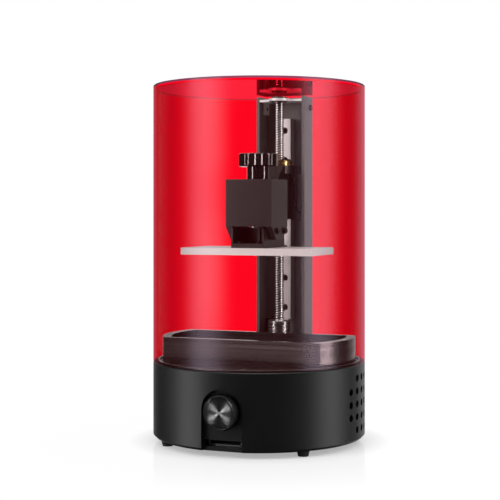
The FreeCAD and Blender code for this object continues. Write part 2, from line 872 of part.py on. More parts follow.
def main_board():
    """Board on four spacers at the left of the light tunnel, with its chips."""
    board_face = size.main_board_inset - inner_radius
    spacer_end = board_face + size.board_thickness
    spacer_length = -tunnel_length / 2 - spacer_end
    board_x = (board_face, spacer_end)
    board_y = about(vat_y, size.main_board_length)
    top = deck_bottom - size.main_board_drop
    bottom = top - size.main_board_height
    board = block(board_x, board_y, (bottom, top))
    middle = (top + bottom) / 2
    chips = []
    for shift in (-1, 0, 1):
        centre = vat_y + size.chip_pitch * shift
        chips.append(block(
            (board_x[0] - size.chip_height, board_x[0]),
            about(centre, size.chip_width),
            about(middle, size.chip_width),
        ))
    node("main_board", together([board] + chips))
    reach = tunnel_width / 2 - size.spacer_inset
    spacers = []
    for y in (vat_y - reach, vat_y + reach):
        for z in (tunnel_bottom + size.spacer_inset, top - size.spacer_inset):
            spacers.append(rod(size.spacer_radius, (spacer_end, y, z), spacer_length, "+X"))
    node("board_spacers", together(spacers))


def fan():
    """Square fan behind the vents on the right, on a bracket that stands on the bottom plate."""
    half = size.fan_width / 2
    sides = about(0, size.fan_width)
    levels = about(fan_z, size.fan_width)
    spread = size.fan_screw_spread / 2
    corners = [(y, fan_z + z) for y in (-spread, spread) for z in (-spread, spread)]

    frame = block((fan_inner, fan_outer), sides, levels)
    bore = rod(size.fan_bore, (fan_inner + size.fan_hub_wall, 0, fan_z), size.fan_depth, "+X")
    throat = cut(
        rod(size.fan_bore, (fan_inner - size.cut_run, 0, fan_z), size.fan_hub_wall + size.cut_run * 2, "+X"),
        rod(size.fan_hub_radius, (fan_inner - size.cut_run, 0, fan_z), size.fan_hub_wall + size.cut_run * 2, "+X"),
        block((fan_inner - size.cut_run, fan_outer), (-half, half), about(fan_z, size.fan_spoke)),
        block((fan_inner - size.cut_run, fan_outer), about(0, size.fan_spoke), (fan_z - half, fan_z + half)),
    )
    pin_hole = rod(size.fan_pin_radius + size.running_gap, (fan_inner - size.cut_run, 0, fan_z), size.fan_depth, "+X")
    run = size.fan_depth + size.cut_run * 2
    screw_holes = [screw_hole((fan_inner - size.cut_run, y, z), "+X", run) for y, z in corners]
    node("fan_frame", cut(frame, bore, throat, pin_hole, *screw_holes))

    plate_z = (floor_top, fan_z + half)
    plate = block((fan_bracket_face, fan_inner), sides, plate_z)
    foot = block((fan_inner - size.fan_bracket_foot, fan_inner), sides, (floor_top, floor_top + size.bracket_thickness))
    opening = rod(size.fan_bore, (fan_bracket_face - size.cut_run, 0, fan_z), size.fan_depth, "+X")
    holes = [screw_hole((fan_bracket_face - size.cut_run, y, z), "+X", size.fan_depth) for y, z in corners]
    node("fan_bracket", cut(fuse(plate, foot), opening, *holes))
    reach = size.fan_depth + size.bracket_thickness
    node("fan_screws", together([screw((fan_bracket_face, y, z), "+X", reach) for y, z in corners]))

    hub_height = size.fan_depth - size.fan_hub_wall - size.slide_gap * 2
    hub = rod(size.fan_hub_radius, (0, 0, 0), hub_height)
    pin_length = size.fan_hub_wall + size.slide_gap
    pin = rod(size.fan_pin_radius, (0, 0, -pin_length), hub_height)
    blades = []
    for index in range(FAN_BLADES):
        blade = block(
            (size.fan_hub_radius - size.cut_run * 2, size.fan_rotor_radius),
            about(0, size.fan_blade_thickness),
            about(0, size.fan_blade_height),
        )
        tilted = turned([blade], (1, 0, 0), size.fan_blade_tilt)
        blades.append(turned([tilted], (0, 0, 1), FULL_TURN / FAN_BLADES * index))
    ring = together(blades)
    place(ring, (0, 0, hub_height / 2))
    start = fan_inner + size.fan_hub_wall + size.slide_gap
    node("fan_rotor", place(fuse(hub, pin, ring), (start, 0, fan_z), "+X"))


def motor_and_lead_screw():
    """Motor under the deck, its shaft, the coupler above the deck and the lead screw."""
    half = size.motor_width / 2
    corner = half - size.motor_corner
    outline = [
        (-corner, lead_y - half), (corner, lead_y - half), (half, lead_y - corner), (half, lead_y + corner),
        (corner, lead_y + half), (-corner, lead_y + half), (-half, lead_y + corner), (-half, lead_y - corner),
    ]
    body = padded("XY_Plane", outline, size.motor_length, offset=deck_bottom - size.motor_length)
    pilot = rod(size.motor_pilot_radius, (0, lead_y, deck_bottom), size.motor_pilot_height)
    shaft_bottom = deck_bottom - size.motor_shaft_sunk
    shaft_top = rim + size.motor_shaft_rise
    bore = rod(size.motor_shaft_radius + size.running_gap, (0, lead_y, shaft_bottom),
               size.motor_shaft_sunk + size.motor_pilot_height + size.cut_run)
    holes = [screw_hole((x, y, deck_bottom), "-Z", size.screw_grip * 2) for x, y in motor_screw_places()]
    node("z_motor", cut(fuse(body, pilot), bore, *holes))
    head_level = rim - size.screw_head_height
    reach = size.deck_thickness - size.screw_head_height + size.screw_grip
    node("motor_screws", together([screw((x, y, head_level), "-Z", reach) for x, y in motor_screw_places()]))
    shaft_start = shaft_bottom + size.running_gap
    node("motor_shaft", rod(size.motor_shaft_radius, (0, lead_y, shaft_start), shaft_top - shaft_start))

    edge = size.coupler_edge
    radius = size.coupler_radius
    core_low = size.coupler_length / 2 - size.coupler_core / 2
    core_high = size.coupler_length / 2 + size.coupler_core / 2
    shaft_bore = size.motor_shaft_radius + size.running_gap
    lead_bore = size.lead_radius + size.running_gap
    coupler = revolved([
        (shaft_bore, zero),
        (radius - edge, zero),
        (radius, edge),
        (radius, size.coupler_length - edge),
        (radius - edge, size.coupler_length),
        (lead_bore, size.coupler_length),
        (lead_bore, core_high),
        (zero, core_high),
        (zero, core_low),
        (shaft_bore, core_low),
    ])
    node("shaft_coupler", place(coupler, (0, lead_y, coupler_bottom)))
    lead_start = coupler_bottom + core_high
    node("lead_screw", rod(size.lead_radius, (0, lead_y, lead_start), top_plate_top - lead_start))


def tower():
    """Channel open to the front, its top plate with the bearing, the rail on its back wall and a limit switch."""
    half = size.tower_width / 2
    inner = tower_inner_width / 2
    outline = [
        (-half, tower_front), (-inner, tower_front), (-inner, rail_back), (inner, rail_back),
        (inner, tower_front), (half, tower_front), (half, tower_back), (-half, tower_back),
    ]
    channel = padded("XY_Plane", outline, tower_top - rim, offset=rim)
    floor_y = (rail_back - size.tower_floor_depth, rail_back)
    floor = block((-inner, inner), floor_y, (rim, rim + size.tower_floor))
    floor_holes = [screw_hole((x, y, rim - size.cut_run), "+Z", size.tower_floor + size.cut_run * 2)
                   for x, y in tower_screw_places()]
    wall_holes = [screw_hole((0, rail_back - size.cut_run, z), "+Y", size.tower_wall + size.cut_run * 2)
                  for z in rail_hole_levels()]
    tab_middle = (rail_back - size.top_plate_tab_depth / 2, top_plate_bottom - size.top_plate_tab / 2)
    tab_reach = size.tower_wall + size.fit_gap + size.top_plate_thickness
    tab_holes = [
        screw_hole((-half - size.cut_run, *tab_middle), "+X", tab_reach + size.cut_run * 2),
        screw_hole((half + size.cut_run, *tab_middle), "-X", tab_reach + size.cut_run * 2),
    ]
    node("tower_channel", cut(fuse(channel, floor), *floor_holes, *wall_holes, *tab_holes))

    floor_reach = size.tower_floor + size.deck_thickness
    screws = [screw((x, y, rim + size.tower_floor), "-Z", floor_reach) for x, y in tower_screw_places()]
    node("tower_screws", together(screws))
    side_screws = [screw((-half, *tab_middle), "+X", tab_reach), screw((half, *tab_middle), "-X", tab_reach)]
    node("top_screws", together(side_screws))

    plate_z = (top_plate_bottom, top_plate_top)
    span = about(0, tower_inner_width - size.fit_gap * 2)
    tab_y = (rail_back - size.top_plate_tab_depth, rail_back)
    tab_z = (top_plate_bottom - size.top_plate_tab, top_plate_bottom)
    top_plate = fuse(
        block(span, (tower_front, rail_back), plate_z),
        block(about(0, size.tongue_radius * 2), (lead_y, tower_front), plate_z),
        rod(size.tongue_radius, (0, lead_y, top_plate_bottom), size.top_plate_thickness),
        block((span[0], span[0] + size.top_plate_thickness), tab_y, tab_z),
        block((span[1] - size.top_plate_thickness, span[1]), tab_y, tab_z),
    )
    bearing_hole = rod(size.bearing_radius, (0, lead_y, top_plate_bottom - size.cut_run),
                       size.top_plate_thickness + size.cut_run * 2)
    node("top_plate", cut(top_plate, bearing_hole, *tab_holes))
    bearing_bottom = (top_plate_bottom + top_plate_top) / 2 - size.bearing_length / 2
    bearing = cut(
        rod(size.bearing_radius - size.running_gap, (0, lead_y, bearing_bottom), size.bearing_length),
        rod(size.lead_radius + size.running_gap, (0, lead_y, bearing_bottom), size.bearing_length),
    )
    node("top_bearing", bearing)
    rail()
    limit_switch()


def rail_hole_levels():
    """Heights of the rail's holes, as many as the rail's length takes."""
    length = rail_top.value - rail_bottom.value - size.rail_hole_inset.value * 2
    count = int(length / size.rail_hole_pitch.value) + 1
    first = rail_bottom + size.rail_hole_inset
    return [first + size.rail_hole_pitch * index for index in range(count)]


def rail():
    """Linear rail with a groove down each side, and the screws sunk in its holes."""
    half = size.rail_width / 2
    groove = half - size.rail_groove
    edge = size.rail_edge
    third = size.rail_height / 3
    right = [
        (half, rail_back),
        (half, rail_back - third),
        (groove, rail_back - third - size.rail_groove),
        (groove, rail_face + third),
        (half, rail_face + third - size.rail_groove),
        (half, rail_face + edge),
        (half - edge, rail_face),
    ]
    left = [(-x, y) for x, y in reversed(right)]
    bar = padded("XY_Plane", right + left, rail_top - rail_bottom, offset=rail_bottom)
    seat_y = rail_face + size.rail_counterbore
    holes = []
    screws = []
    for z in rail_hole_levels():
        holes.append(rod(size.rail_counterbore_radius, (0, seat_y, z), size.rail_counterbore + size.cut_run, "-Y"))
        holes.append(screw_hole((0, rail_face, z), "+Y", size.rail_height + size.cut_run))
        reach = size.rail_height - size.rail_counterbore + size.tower_wall
        screws.append(screw((0, seat_y, z), "+Y", reach))
    node("linear_rail", cut(bar, *holes))
    node("rail_screws", together(screws))


def limit_switch():
    """Small switch on the back wall below the carriage, with its button up."""
    y = (rail_back - size.switch_depth, rail_back)
    bottom = rail_bottom - size.switch_height
    top = rail_bottom
    case = block(about(-size.switch_shift, size.switch_width), y, (bottom, top))
    button = rod(size.switch_button_radius, (-size.switch_shift, (y[0] + y[1]) / 2, top), size.switch_button)
    node("limit_switch", fuse(case, button))


def carriage():
    """Block that runs on the rail, with an end cap at each end."""
    length = size.carriage_length
    levels = about(carriage_middle, length)
    half_slot = size.rail_width / 2 + size.slide_gap
    slot_front = rail_face - size.slide_gap
    rear = carriage_face + size.carriage_thickness
    slot_z = about(carriage_middle, length + size.cap_length * 2 + size.cut_run * 2)
    slot = block((-half_slot, half_slot), (slot_front, rear + size.cut_run), slot_z)
    body = block(about(0, size.carriage_width), (carriage_face, rear), levels)
    holes = [screw_hole((x, carriage_face, z), "+Y", size.screw_grip) for x, z in arm_screw_places()]
    node("carriage_block", cut(body, slot, *holes))
    cap_x = about(0, size.carriage_width - size.cap_step * 2)
    cap_y = (carriage_face + size.cap_step, rear - size.cap_step)
    caps = [
        cut(block(cap_x, cap_y, (levels[1], levels[1] + size.cap_length)), slot),
        cut(block(cap_x, cap_y, (levels[0] - size.cap_length, levels[0])), slot),
    ]
    node("carriage_caps", together(caps))


def arm_screw_places():
    across = size.arm_screw_spread / 2
    up = size.arm_screw_pitch / 2
    return [(x, carriage_middle + z) for x in (-across, across) for z in (-up, up)]


def arm_front_places():
    across = size.arm_front_spread / 2
    up = size.arm_front_pitch / 2
    middle = (arm_bottom + saddle_top) / 2
    return [(x, middle + z) for x in (-across, across) for z in (-up, up)]


def nut_screw_places():
    return [(x, lead_y + y) for x, y in around(size.nut_screw_circle, size.nut_screw_angle)]


def arm():
    """Arm from the carriage to the saddle, with the seat of the lead nut, and the nut itself."""
    boss_front = lead_y - size.nut_flange_radius
    front_plate = saddle_rear + size.arm_flange
    flange_bottom = carriage_middle - size.carriage_length / 2
    web = padded("YZ_Plane", [
        (saddle_rear, arm_bottom),
        (arm_rear, flange_bottom),
        (arm_rear, nut_seat),
        (boss_front, nut_seat),
        (saddle_rear + size.arm_front_step, saddle_top),
        (saddle_rear, saddle_top),
    ], size.arm_width, symmetric=True)
    rear_flange = block(about(0, size.carriage_width), (arm_rear, carriage_face), (flange_bottom, nut_seat))
    front_flange = block(about(0, size.arm_front_width), (saddle_rear, front_plate), (arm_bottom, saddle_top))
    boss_bottom = nut_seat - size.nut_boss_height
    boss = common(
        rod(size.nut_flange_radius, (0, lead_y, boss_bottom), size.nut_boss_height),
        block(about(0, size.nut_flange_radius * 2), (boss_front, arm_rear), (boss_bottom, nut_seat)),
    )
    drop = nut_seat - arm_bottom
    bore = rod(size.nut_radius + size.screw_gap, (0, lead_y, arm_bottom - size.cut_run), drop + size.cut_run * 2)
    holes = [screw_hole((x, arm_rear - size.cut_run, z), "+Y", size.arm_flange + size.cut_run * 2)
             for x, z in arm_screw_places()]
    holes += [screw_hole((x, front_plate + size.cut_run, z), "-Y", size.arm_flange + size.cut_run * 2)
              for x, z in arm_front_places()]
    holes += [screw_hole((x, y, nut_seat), "-Z", size.screw_grip) for x, y in nut_screw_places()]
    node("z_arm", cut(fuse(web, rear_flange, front_flange, boss), bore, *holes))

    grip = size.screw_grip - size.screw_gap
    screws = [screw((x, arm_rear, z), "+Y", size.arm_flange + grip) for x, z in arm_screw_places()]
    screws += [screw((x, front_plate, z), "-Y", size.arm_flange + grip) for x, z in arm_front_places()]
    flange_top = nut_seat + size.nut_flange
    screws += [screw((x, y, flange_top), "-Z", size.nut_flange + grip) for x, y in nut_screw_places()]
    node("arm_screws", together(screws))

    nut_bore = size.lead_radius + size.running_gap
    nut = revolved([
        (nut_bore, -size.nut_drop),
        (size.nut_radius, -size.nut_drop),
        (size.nut_radius, zero),
        (size.nut_flange_radius, zero),
        (size.nut_flange_radius, size.nut_flange),
        (size.nut_radius, size.nut_flange),
        (size.nut_radius, size.nut_flange + size.nut_collar),
        (nut_bore, size.nut_flange + size.nut_collar),
    ])
    place(nut, (0, lead_y, nut_seat))
    nut_holes = [screw_hole((x, y, nut_seat - size.cut_run), "+Z", size.nut_flange + size.cut_run * 2)
                 for x, y in nut_screw_places()]
    node("lead_nut", cut(nut, *nut_holes))


def clamp_screw_places():
    return [plate_y - size.clamp_screw_front, plate_y + size.clamp_screw_back]


def saddle():
    """Saddle at the end of the arm, with a cheek at each side of the joint block and the socket for the ball."""
    cheek_bottom = saddle_bottom - size.cheek_drop
    body = padded("YZ_Plane", [
        (saddle_front, saddle_top),
        (saddle_front, saddle_bottom),
        (saddle_front + size.cheek_corner, cheek_bottom),
        (saddle_rear - size.cheek_corner, cheek_bottom),
        (saddle_rear, saddle_bottom),
        (saddle_rear, saddle_top),
    ], size.saddle_width, symmetric=True)
    cheek_inner = size.block_width / 2 + size.cheek_gap
    between = block((-cheek_inner, cheek_inner), (saddle_front - size.cut_run, saddle_rear + size.cut_run),
                    (cheek_bottom - size.cut_run, saddle_bottom))
    socket_radius = size.ball_radius + size.fit_gap
    pivot = (0, pivot_y, pivot_z)
    socket = fuse(
        rod(socket_radius, (0, pivot_y, saddle_bottom - size.cut_run), size.ball_lift + size.cut_run),
        ball(socket_radius, pivot),
        rod(size.retainer_radius + size.fit_gap, (0, pivot_y, saddle_bottom - size.cut_run),
            size.retainer_height + size.cut_run),
        rod(size.clamp_stem_radius + size.screw_gap, pivot, saddle_top - pivot_z + size.cut_run),
    )
    outer = size.saddle_width / 2
    level = saddle_bottom - size.clamp_screw_drop
    holes = [screw_hole((x, y, level), facing, outer - cheek_inner + size.cut_run)
             for y in clamp_screw_places() for x, facing in ((outer, "-X"), (-outer, "+X"))]
    holes += [screw_hole((x, saddle_rear, z), "-Y", size.screw_grip) for x, z in arm_front_places()]
    node("platform_saddle", cut(body, between, socket, *holes))

    reach = outer - size.block_width / 2 - size.fit_gap
    screws = [screw((x, y, level), facing, reach)
              for y in clamp_screw_places() for x, facing in ((outer, "-X"), (-outer, "+X"))]
    node("clamp_screws", together(screws))
    retainer = cut(
        rod(size.retainer_radius, (0, pivot_y, saddle_bottom), size.retainer_height),
        rod(size.retainer_hole, (0, pivot_y, saddle_bottom), size.retainer_height),
    )
    node("ball_retainer", retainer)


def plate_screw_places():
    across = size.block_rib / 2 + size.block_pocket_width / 2
    inset = size.block_pocket_depth / 2
    front = plate_y - size.block_front + inset
    rear = plate_y + size.block_back - inset
    return [(x, y) for x in (-across, across) for y in (front, rear)]


def platform():
    """Build plate, the joint block screwed on it, and the ball stud in the block."""
    half_length = size.plate_length / 2
    half_width = size.plate_width / 2
    edge = size.plate_edge
    outline = [
        (-half_length + edge, plate_y - half_width), (half_length - edge, plate_y - half_width),
        (half_length, plate_y - half_width + edge), (half_length, plate_y + half_width - edge),
        (half_length - edge, plate_y + half_width), (-half_length + edge, plate_y + half_width),
        (-half_length, plate_y + half_width - edge), (-half_length, plate_y - half_width + edge),
    ]
    plate = padded("XY_Plane", outline, size.plate_thickness, offset=plate_bottom)
    grip = size.plate_thickness - size.cut_run
    plate_holes = [screw_hole((x, y, plate_top), "-Z", grip) for x, y in plate_screw_places()]
    node("build_plate", cut(plate, *plate_holes))

    front = plate_y - size.block_front
    rear = plate_y + size.block_back
    body = block(about(0, size.block_width), (front, rear), (plate_top, block_top))
    floor = plate_top + size.block_floor
    pocket_z = (floor, block_top + size.cut_run)
    pockets = []
    for side in (-1, 1):
        centre = (size.block_rib / 2 + size.block_pocket_width / 2) * side
        span = about(centre, size.block_pocket_width)
        pockets.append(block(span, (front - size.cut_run, front + size.block_front_depth), pocket_z))
        pockets.append(block(span, (rear - size.block_pocket_depth, rear + size.cut_run), pocket_z))
    rib_span = about(0, size.block_rib + size.block_pocket_width)
    pockets.append(block(rib_span, (front - size.cut_run, front + size.block_rib_inset), pocket_z))
    stud_hole = screw_hole((0, pivot_y, block_top), "-Z", size.stud_thread_length, size.stud_thread_radius)
    holes = [screw_hole((x, y, floor), "-Z", size.block_floor) for x, y in plate_screw_places()]
    node("joint_block", cut(body, stud_hole, *pockets, *holes))
    reach = size.block_floor + grip - size.screw_gap
    node("plate_screws", together([screw((x, y, floor), "-Z", reach) for x, y in plate_screw_places()]))

    stud = fuse(
        rod(size.stud_thread_radius, (0, pivot_y, block_top), size.stud_thread_length - size.screw_gap, "-Z"),
        rod(size.stud_flange_radius, (0, pivot_y, block_top), size.stud_flange),
        rod(size.stud_radius, (0, pivot_y, block_top), pivot_z - block_top),
        ball(size.ball_radius, (0, pivot_y, pivot_z)),
    )
    node("ball_stud", stud)


def platform_knob():
    """Fluted knob on the saddle, whose stem presses on the ball."""
    head_bottom = size.clamp_neck_height
    head_top = head_bottom + size.clamp_knob_height
    edge = size.clamp_knob_edge
    radius = size.clamp_knob_radius
    stem_drop = saddle_top + size.slide_gap - pivot_z - size.ball_radius - size.fit_gap
    turning = revolved([
        (zero, -stem_drop),
        (size.clamp_stem_radius, -stem_drop),
        (size.clamp_stem_radius, zero),
        (size.clamp_neck_radius, zero),
        (size.clamp_neck_radius, head_bottom),
        (radius - edge, head_bottom),
        (radius, head_bottom + edge),
        (radius, head_top - edge),
        (radius - edge, head_top),
        (zero, head_top),
    ])
    flutes = []
    for index in range(CLAMP_FLUTES):
        flute = rod(size.clamp_flute_radius, (size.clamp_flute_circle, 0, head_bottom - size.cut_run),
                    size.clamp_knob_height + size.cut_run * 2)
        flutes.append(turned([flute], (0, 0, 1), FULL_TURN / CLAMP_FLUTES * (index + 0.5)))
    knob = cut(turning, *flutes)
    node("platform_knob", place(knob, (0, pivot_y, saddle_top + size.slide_gap)))


def vat_outline(radius, front, rear, z, height):
    """A round slab with a flat in front and a flat behind."""
    span = radius + size.cut_run
    return common(rod(radius, (0, 0, z), height), block((-span, span), (front, rear), (z, z + height)))


def vat():
    """Resin vat: the body, the film under it and the ring that clamps the film."""
    body = vat_outline(vat_radius, vat_front, vat_rear, vat_bottom, size.vat_height)
    cavity = vat_outline(cavity_radius, cavity_front, cavity_rear, vat_bottom - size.cut_run,
                         size.vat_height + size.cut_run * 2)
    head_level = vat_top - size.screw_head_height
    drop = vat_top - rim + size.cut_run * 2
    holes = [screw_hole((x, y, rim - size.cut_run), "+Z", drop, size.vat_screw_radius) for x, y in vat_screw_places()]
    seats = [screw_seat((x, y, head_level), "-Z", size.vat_screw_head) for x, y in vat_screw_places()]
    node("vat_body", cut(body, cavity, *holes, *seats))
    film = vat_outline(vat_radius, vat_front, vat_rear, film_bottom, size.film_thickness)
    node("vat_film", cut(film, *holes))
    ring = vat_outline(vat_radius, vat_front, vat_rear, rim, size.film_ring_thickness)
    opening = vat_outline(cavity_radius, cavity_front, cavity_rear, rim - size.cut_run,
                          size.film_ring_thickness + size.cut_run * 2)
    node("film_ring", cut(ring, opening, *holes))
    reach = head_level - deck_bottom
    screws = [screw((x, y, head_level), "-Z", reach, size.vat_screw_radius, size.vat_screw_head)
              for x, y in vat_screw_places()]
    node("vat_screws", together(screws))


def cover():
    """See-through tube that stands on the rim of the base, and the disc that closes it."""
    node("cover_tube", tube(size.body_radius, cover_inner, rim, cover_underside - rim))
    node("cover_top", rod(size.body_radius, (0, 0, cover_underside), size.cover_top_thickness))


base_housing()
bottom_and_feet()
deck()
front_controls()
card_socket()
power_inlet()
screen_and_lamp()
main_board()
fan()
motor_and_lead_screw()
tower()
carriage()
arm()
saddle()
platform()
platform_knob()
vat()
cover()
doc.recompute()

failed = [item.Label for item in doc.Objects if {"Invalid", "Error"} & set(item.State)]
failed += [item.Label for item in nodes if item.Shape.isNull() or not item.Shape.isValid()]
if failed:
    raise RuntimeError("These pieces could not be made: " + ", ".join(failed))
os.makedirs("parts", exist_ok=True)
for item in nodes:
    item.Shape.exportStep(os.path.join("parts", item.Label + ".step"))
    solids = len(item.Shape.Solids)
    print(f"{item.Label}: {solids} solids, {item.Shape.Volume / 1000:.2f} cm3")
print(len(nodes), "pieces")
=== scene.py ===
import json
import math

import bpy
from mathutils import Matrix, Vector

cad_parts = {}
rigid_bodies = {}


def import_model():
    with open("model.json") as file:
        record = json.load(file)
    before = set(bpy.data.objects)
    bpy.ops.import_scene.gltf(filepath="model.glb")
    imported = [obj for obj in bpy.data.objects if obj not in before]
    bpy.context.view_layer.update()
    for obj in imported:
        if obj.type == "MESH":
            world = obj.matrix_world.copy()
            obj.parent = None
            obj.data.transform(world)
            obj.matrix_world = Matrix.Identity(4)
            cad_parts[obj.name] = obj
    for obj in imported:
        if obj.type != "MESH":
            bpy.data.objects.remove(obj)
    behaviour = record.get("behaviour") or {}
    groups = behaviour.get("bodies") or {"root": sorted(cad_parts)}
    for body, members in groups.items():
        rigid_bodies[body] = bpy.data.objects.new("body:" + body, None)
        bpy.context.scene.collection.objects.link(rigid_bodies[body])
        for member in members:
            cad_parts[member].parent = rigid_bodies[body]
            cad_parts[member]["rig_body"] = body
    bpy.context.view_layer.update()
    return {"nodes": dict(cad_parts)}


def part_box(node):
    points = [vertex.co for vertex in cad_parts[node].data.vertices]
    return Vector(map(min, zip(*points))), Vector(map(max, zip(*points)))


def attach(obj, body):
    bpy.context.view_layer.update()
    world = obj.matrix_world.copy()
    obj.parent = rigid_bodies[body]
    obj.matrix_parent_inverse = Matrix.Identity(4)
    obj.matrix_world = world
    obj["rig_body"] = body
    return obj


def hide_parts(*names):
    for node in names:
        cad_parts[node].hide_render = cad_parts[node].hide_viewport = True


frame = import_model()

MM = 0.001
FULL_TURN = 2 * math.pi
WHITE = (1.0, 1.0, 1.0)


def middle_of(node):
    """The middle of a solid's box, in millimetres."""
    low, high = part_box(node)
    return (Vector(low) + Vector(high)) / 2 / MM


def levels_of(node):
    """The lowest and the highest level of a solid, in millimetres."""
    low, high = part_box(node)
    return low.z / MM, high.z / MM


# Axes that several pieces turn about, and sizes of the cover, in millimetres
LEAD_Y = middle_of("lead_screw").y
PIVOT_Y = middle_of("platform_knob").y
KNOB_AXIS = middle_of("control_knob")
DECK_TOP = levels_of("cover_tube")[0]
COVER_RADIUS = 85.0
COVER_INNER = 82.0

# Where the white backdrop lies, as a direction, and the light of the room without the lamps
BACKDROP_WAY = (-0.2, 0.98, 0.0)
ROOM_LIGHT = 0.12


def grey(level):
    return (level, level, level)


class Shade:
    """A shader value that can stand in Python expressions, and the node tree that it is part of."""

    def __init__(self, tree, socket=None):
        self.tree = tree
        self.socket = socket

    def node(self, kind, settings=None, inputs=None, output=0):
        """Adds a node of a kind with its settings, then the values or links of its sockets."""
        made = self.tree.nodes.new(kind)
        for name, value in (settings or {}).items():
            setattr(made, name, value)
        for name, value in (inputs or {}).items():
            if isinstance(value, Shade):
                self.tree.links.new(value.socket, made.inputs[name])
            else:
                made.inputs[name].default_value = value
        return Shade(self.tree, made.outputs[output] if made.outputs else None)

    def maths(self, operation, *values):
        return self.node("ShaderNodeMath", {"operation": operation}, dict(enumerate(values)))

    def __add__(self, other):
        return self.maths("ADD", self, other)

    def __radd__(self, other):
        return self.maths("ADD", other, self)

    def __sub__(self, other):
        return self.maths("SUBTRACT", self, other)

    def __rsub__(self, other):
        return self.maths("SUBTRACT", other, self)

    def __mul__(self, other):
        return self.maths("MULTIPLY", self, other)

    def __rmul__(self, other):
        return self.maths("MULTIPLY", other, self)

    def __truediv__(self, other):
        return self.maths("DIVIDE", self, other)


def new_finish(name):
    """An empty material and the shade to build it with."""
    material = bpy.data.materials.new(name)
    material.use_nodes = True
    material.node_tree.nodes.clear()
    return material, Shade(material.node_tree)


def rest_point(shade):
    """Where a point of a piece lies in the printer's own frame, in metres."""
    return shade.node("ShaderNodeTexCoord", output="Object")


def level_of(shade, point):
    """How high a point lies, in metres."""
    return shade.node("ShaderNodeSeparateXYZ", inputs={0: point}, output="Z")


def vector_maths(shade, operation, first, second):
    return shade.node("ShaderNodeVectorMath", {"operation": operation}, {0: first, 1: second})


def length_of(shade, vector):
    return shade.node("ShaderNodeVectorMath", {"operation": "LENGTH"}, {0: vector}, "Value")


def from_axis(shade, point, centre, across):
    """How far a point is from an axis through a centre, given as millimetres; across leaves the axis out."""
    offset = vector_maths(shade, "SUBTRACT", point, Vector(centre) * MM)
    return length_of(shade, vector_maths(shade, "MULTIPLY", offset, across))


def grain(shade, point, scale, detail=2.0, roughness=0.5):
    """Cloudy grain from 0 to 1."""
    return shade.node("ShaderNodeTexNoise", inputs={
        "Vector": point, "Scale": scale, "Detail": detail, "Roughness": roughness,
    })


def drawn_grain(shade, point, lines, detail, roughness=0.5):
    """Grain that is drawn out along the axes where lines is small."""
    return grain(shade, vector_maths(shade, "MULTIPLY", point, lines), 1.0, detail, roughness)


def sprayed(shade, point):
    """The fine peel of a sprayed coat, and the wide cloud in its gloss."""
    return grain(shade, point, 2400.0, 3.0), grain(shade, point, 22.0, 3.0)


def between(shade, value, low, high, first=0.0, last=1.0):
    """Goes from the first to the last number as a value goes from low to high, and stays there beyond."""
    return shade.node("ShaderNodeMapRange", inputs={
        "Value": value, "From Min": low, "From Max": high, "To Min": first, "To Max": last,
    })


def tinted(shade, share, first, second):
    """A colour that goes from the first to the second with a share. The first may vary itself."""
    start = first if isinstance(first, Shade) else (*first, 1.0)
    return shade.node("ShaderNodeMix", {"data_type": "RGBA"}, {
        0: share, 6: start, 7: (*second, 1.0),
    }, output=2)


def raised(shade, height, distance):
    """The normal of a surface raised by a height from 0 to 1 over a distance in metres."""
    return shade.node("ShaderNodeBump", inputs={"Height": height, "Distance": distance})


def mixed(shade, share, first, second):
    """Two surfaces in one, with a share of the second."""
    return shade.node("ShaderNodeMixShader", inputs={0: share, 1: first, 2: second})


def clear(shade, tint):
    return shade.node("ShaderNodeBsdfTransparent", inputs={"Color": (*tint, 1.0)})


def matt(shade, colour):
    return shade.node("ShaderNodeBsdfDiffuse", inputs={"Color": (*colour, 1.0)})


def mirror(shade, tint, roughness, spread="MULTI_GGX"):
    return shade.node("ShaderNodeBsdfAnisotropic", {"distribution": spread}, {
        "Color": (*tint, 1.0), "Roughness": roughness,
    })


def done(shade, surface):
    shade.node("ShaderNodeOutputMaterial", inputs={"Surface": surface})


def filled(material, shade, inputs):
    """A material that is one solid surface, with these inputs."""
    done(shade, shade.node("ShaderNodeBsdfPrincipled", inputs=inputs))
    return material


def coat(name, colour, lighter, roughness, gloss=0.4):
    """Sprayed matt coat."""
    material, shade = new_finish(name)
    peel, cloud = sprayed(shade, rest_point(shade))
    return filled(material, shade, {
        "Base Color": tinted(shade, peel * 0.7 + cloud * 0.3, colour, lighter),
        "Roughness": cloud * 0.10 + peel * 0.06 + (roughness - 0.08),
        "Specular IOR Level": gloss,
        "Normal": raised(shade, peel, 0.00003),
    })


def deck_finish(name):
    """Dark sprayed deck, with the inside of the ring that centres the cover left bare."""
    material, shade = new_finish(name)
    point = rest_point(shade)
    peel, cloud = sprayed(shade, point)
    dark = tinted(shade, peel * 0.7 + cloud * 0.3, (0.009, 0.005, 0.005), (0.017, 0.010, 0.010))
    radius = from_axis(shade, point, (0, 0, 0), (1, 1, 0)) / MM
    level = level_of(shade, point) / MM
    ring_inner = 80.1
    outside = between(shade, radius, ring_inner - 0.3, ring_inner - 0.2)
    inside = between(shade, radius, ring_inner + 0.3, ring_inner + 0.4, 1.0, 0.0)
    bare = outside * inside * between(shade, level, DECK_TOP + 0.05, DECK_TOP + 0.15)
    return filled(material, shade, {
        "Base Color": tinted(shade, bare, dark, (0.86, 0.84, 0.84)),
        "Metallic": bare * 0.3,
        "Roughness": cloud * 0.10 + peel * 0.06 + 0.26,
        "Specular IOR Level": 0.45,
        "Normal": raised(shade, peel, 0.00002),
    })


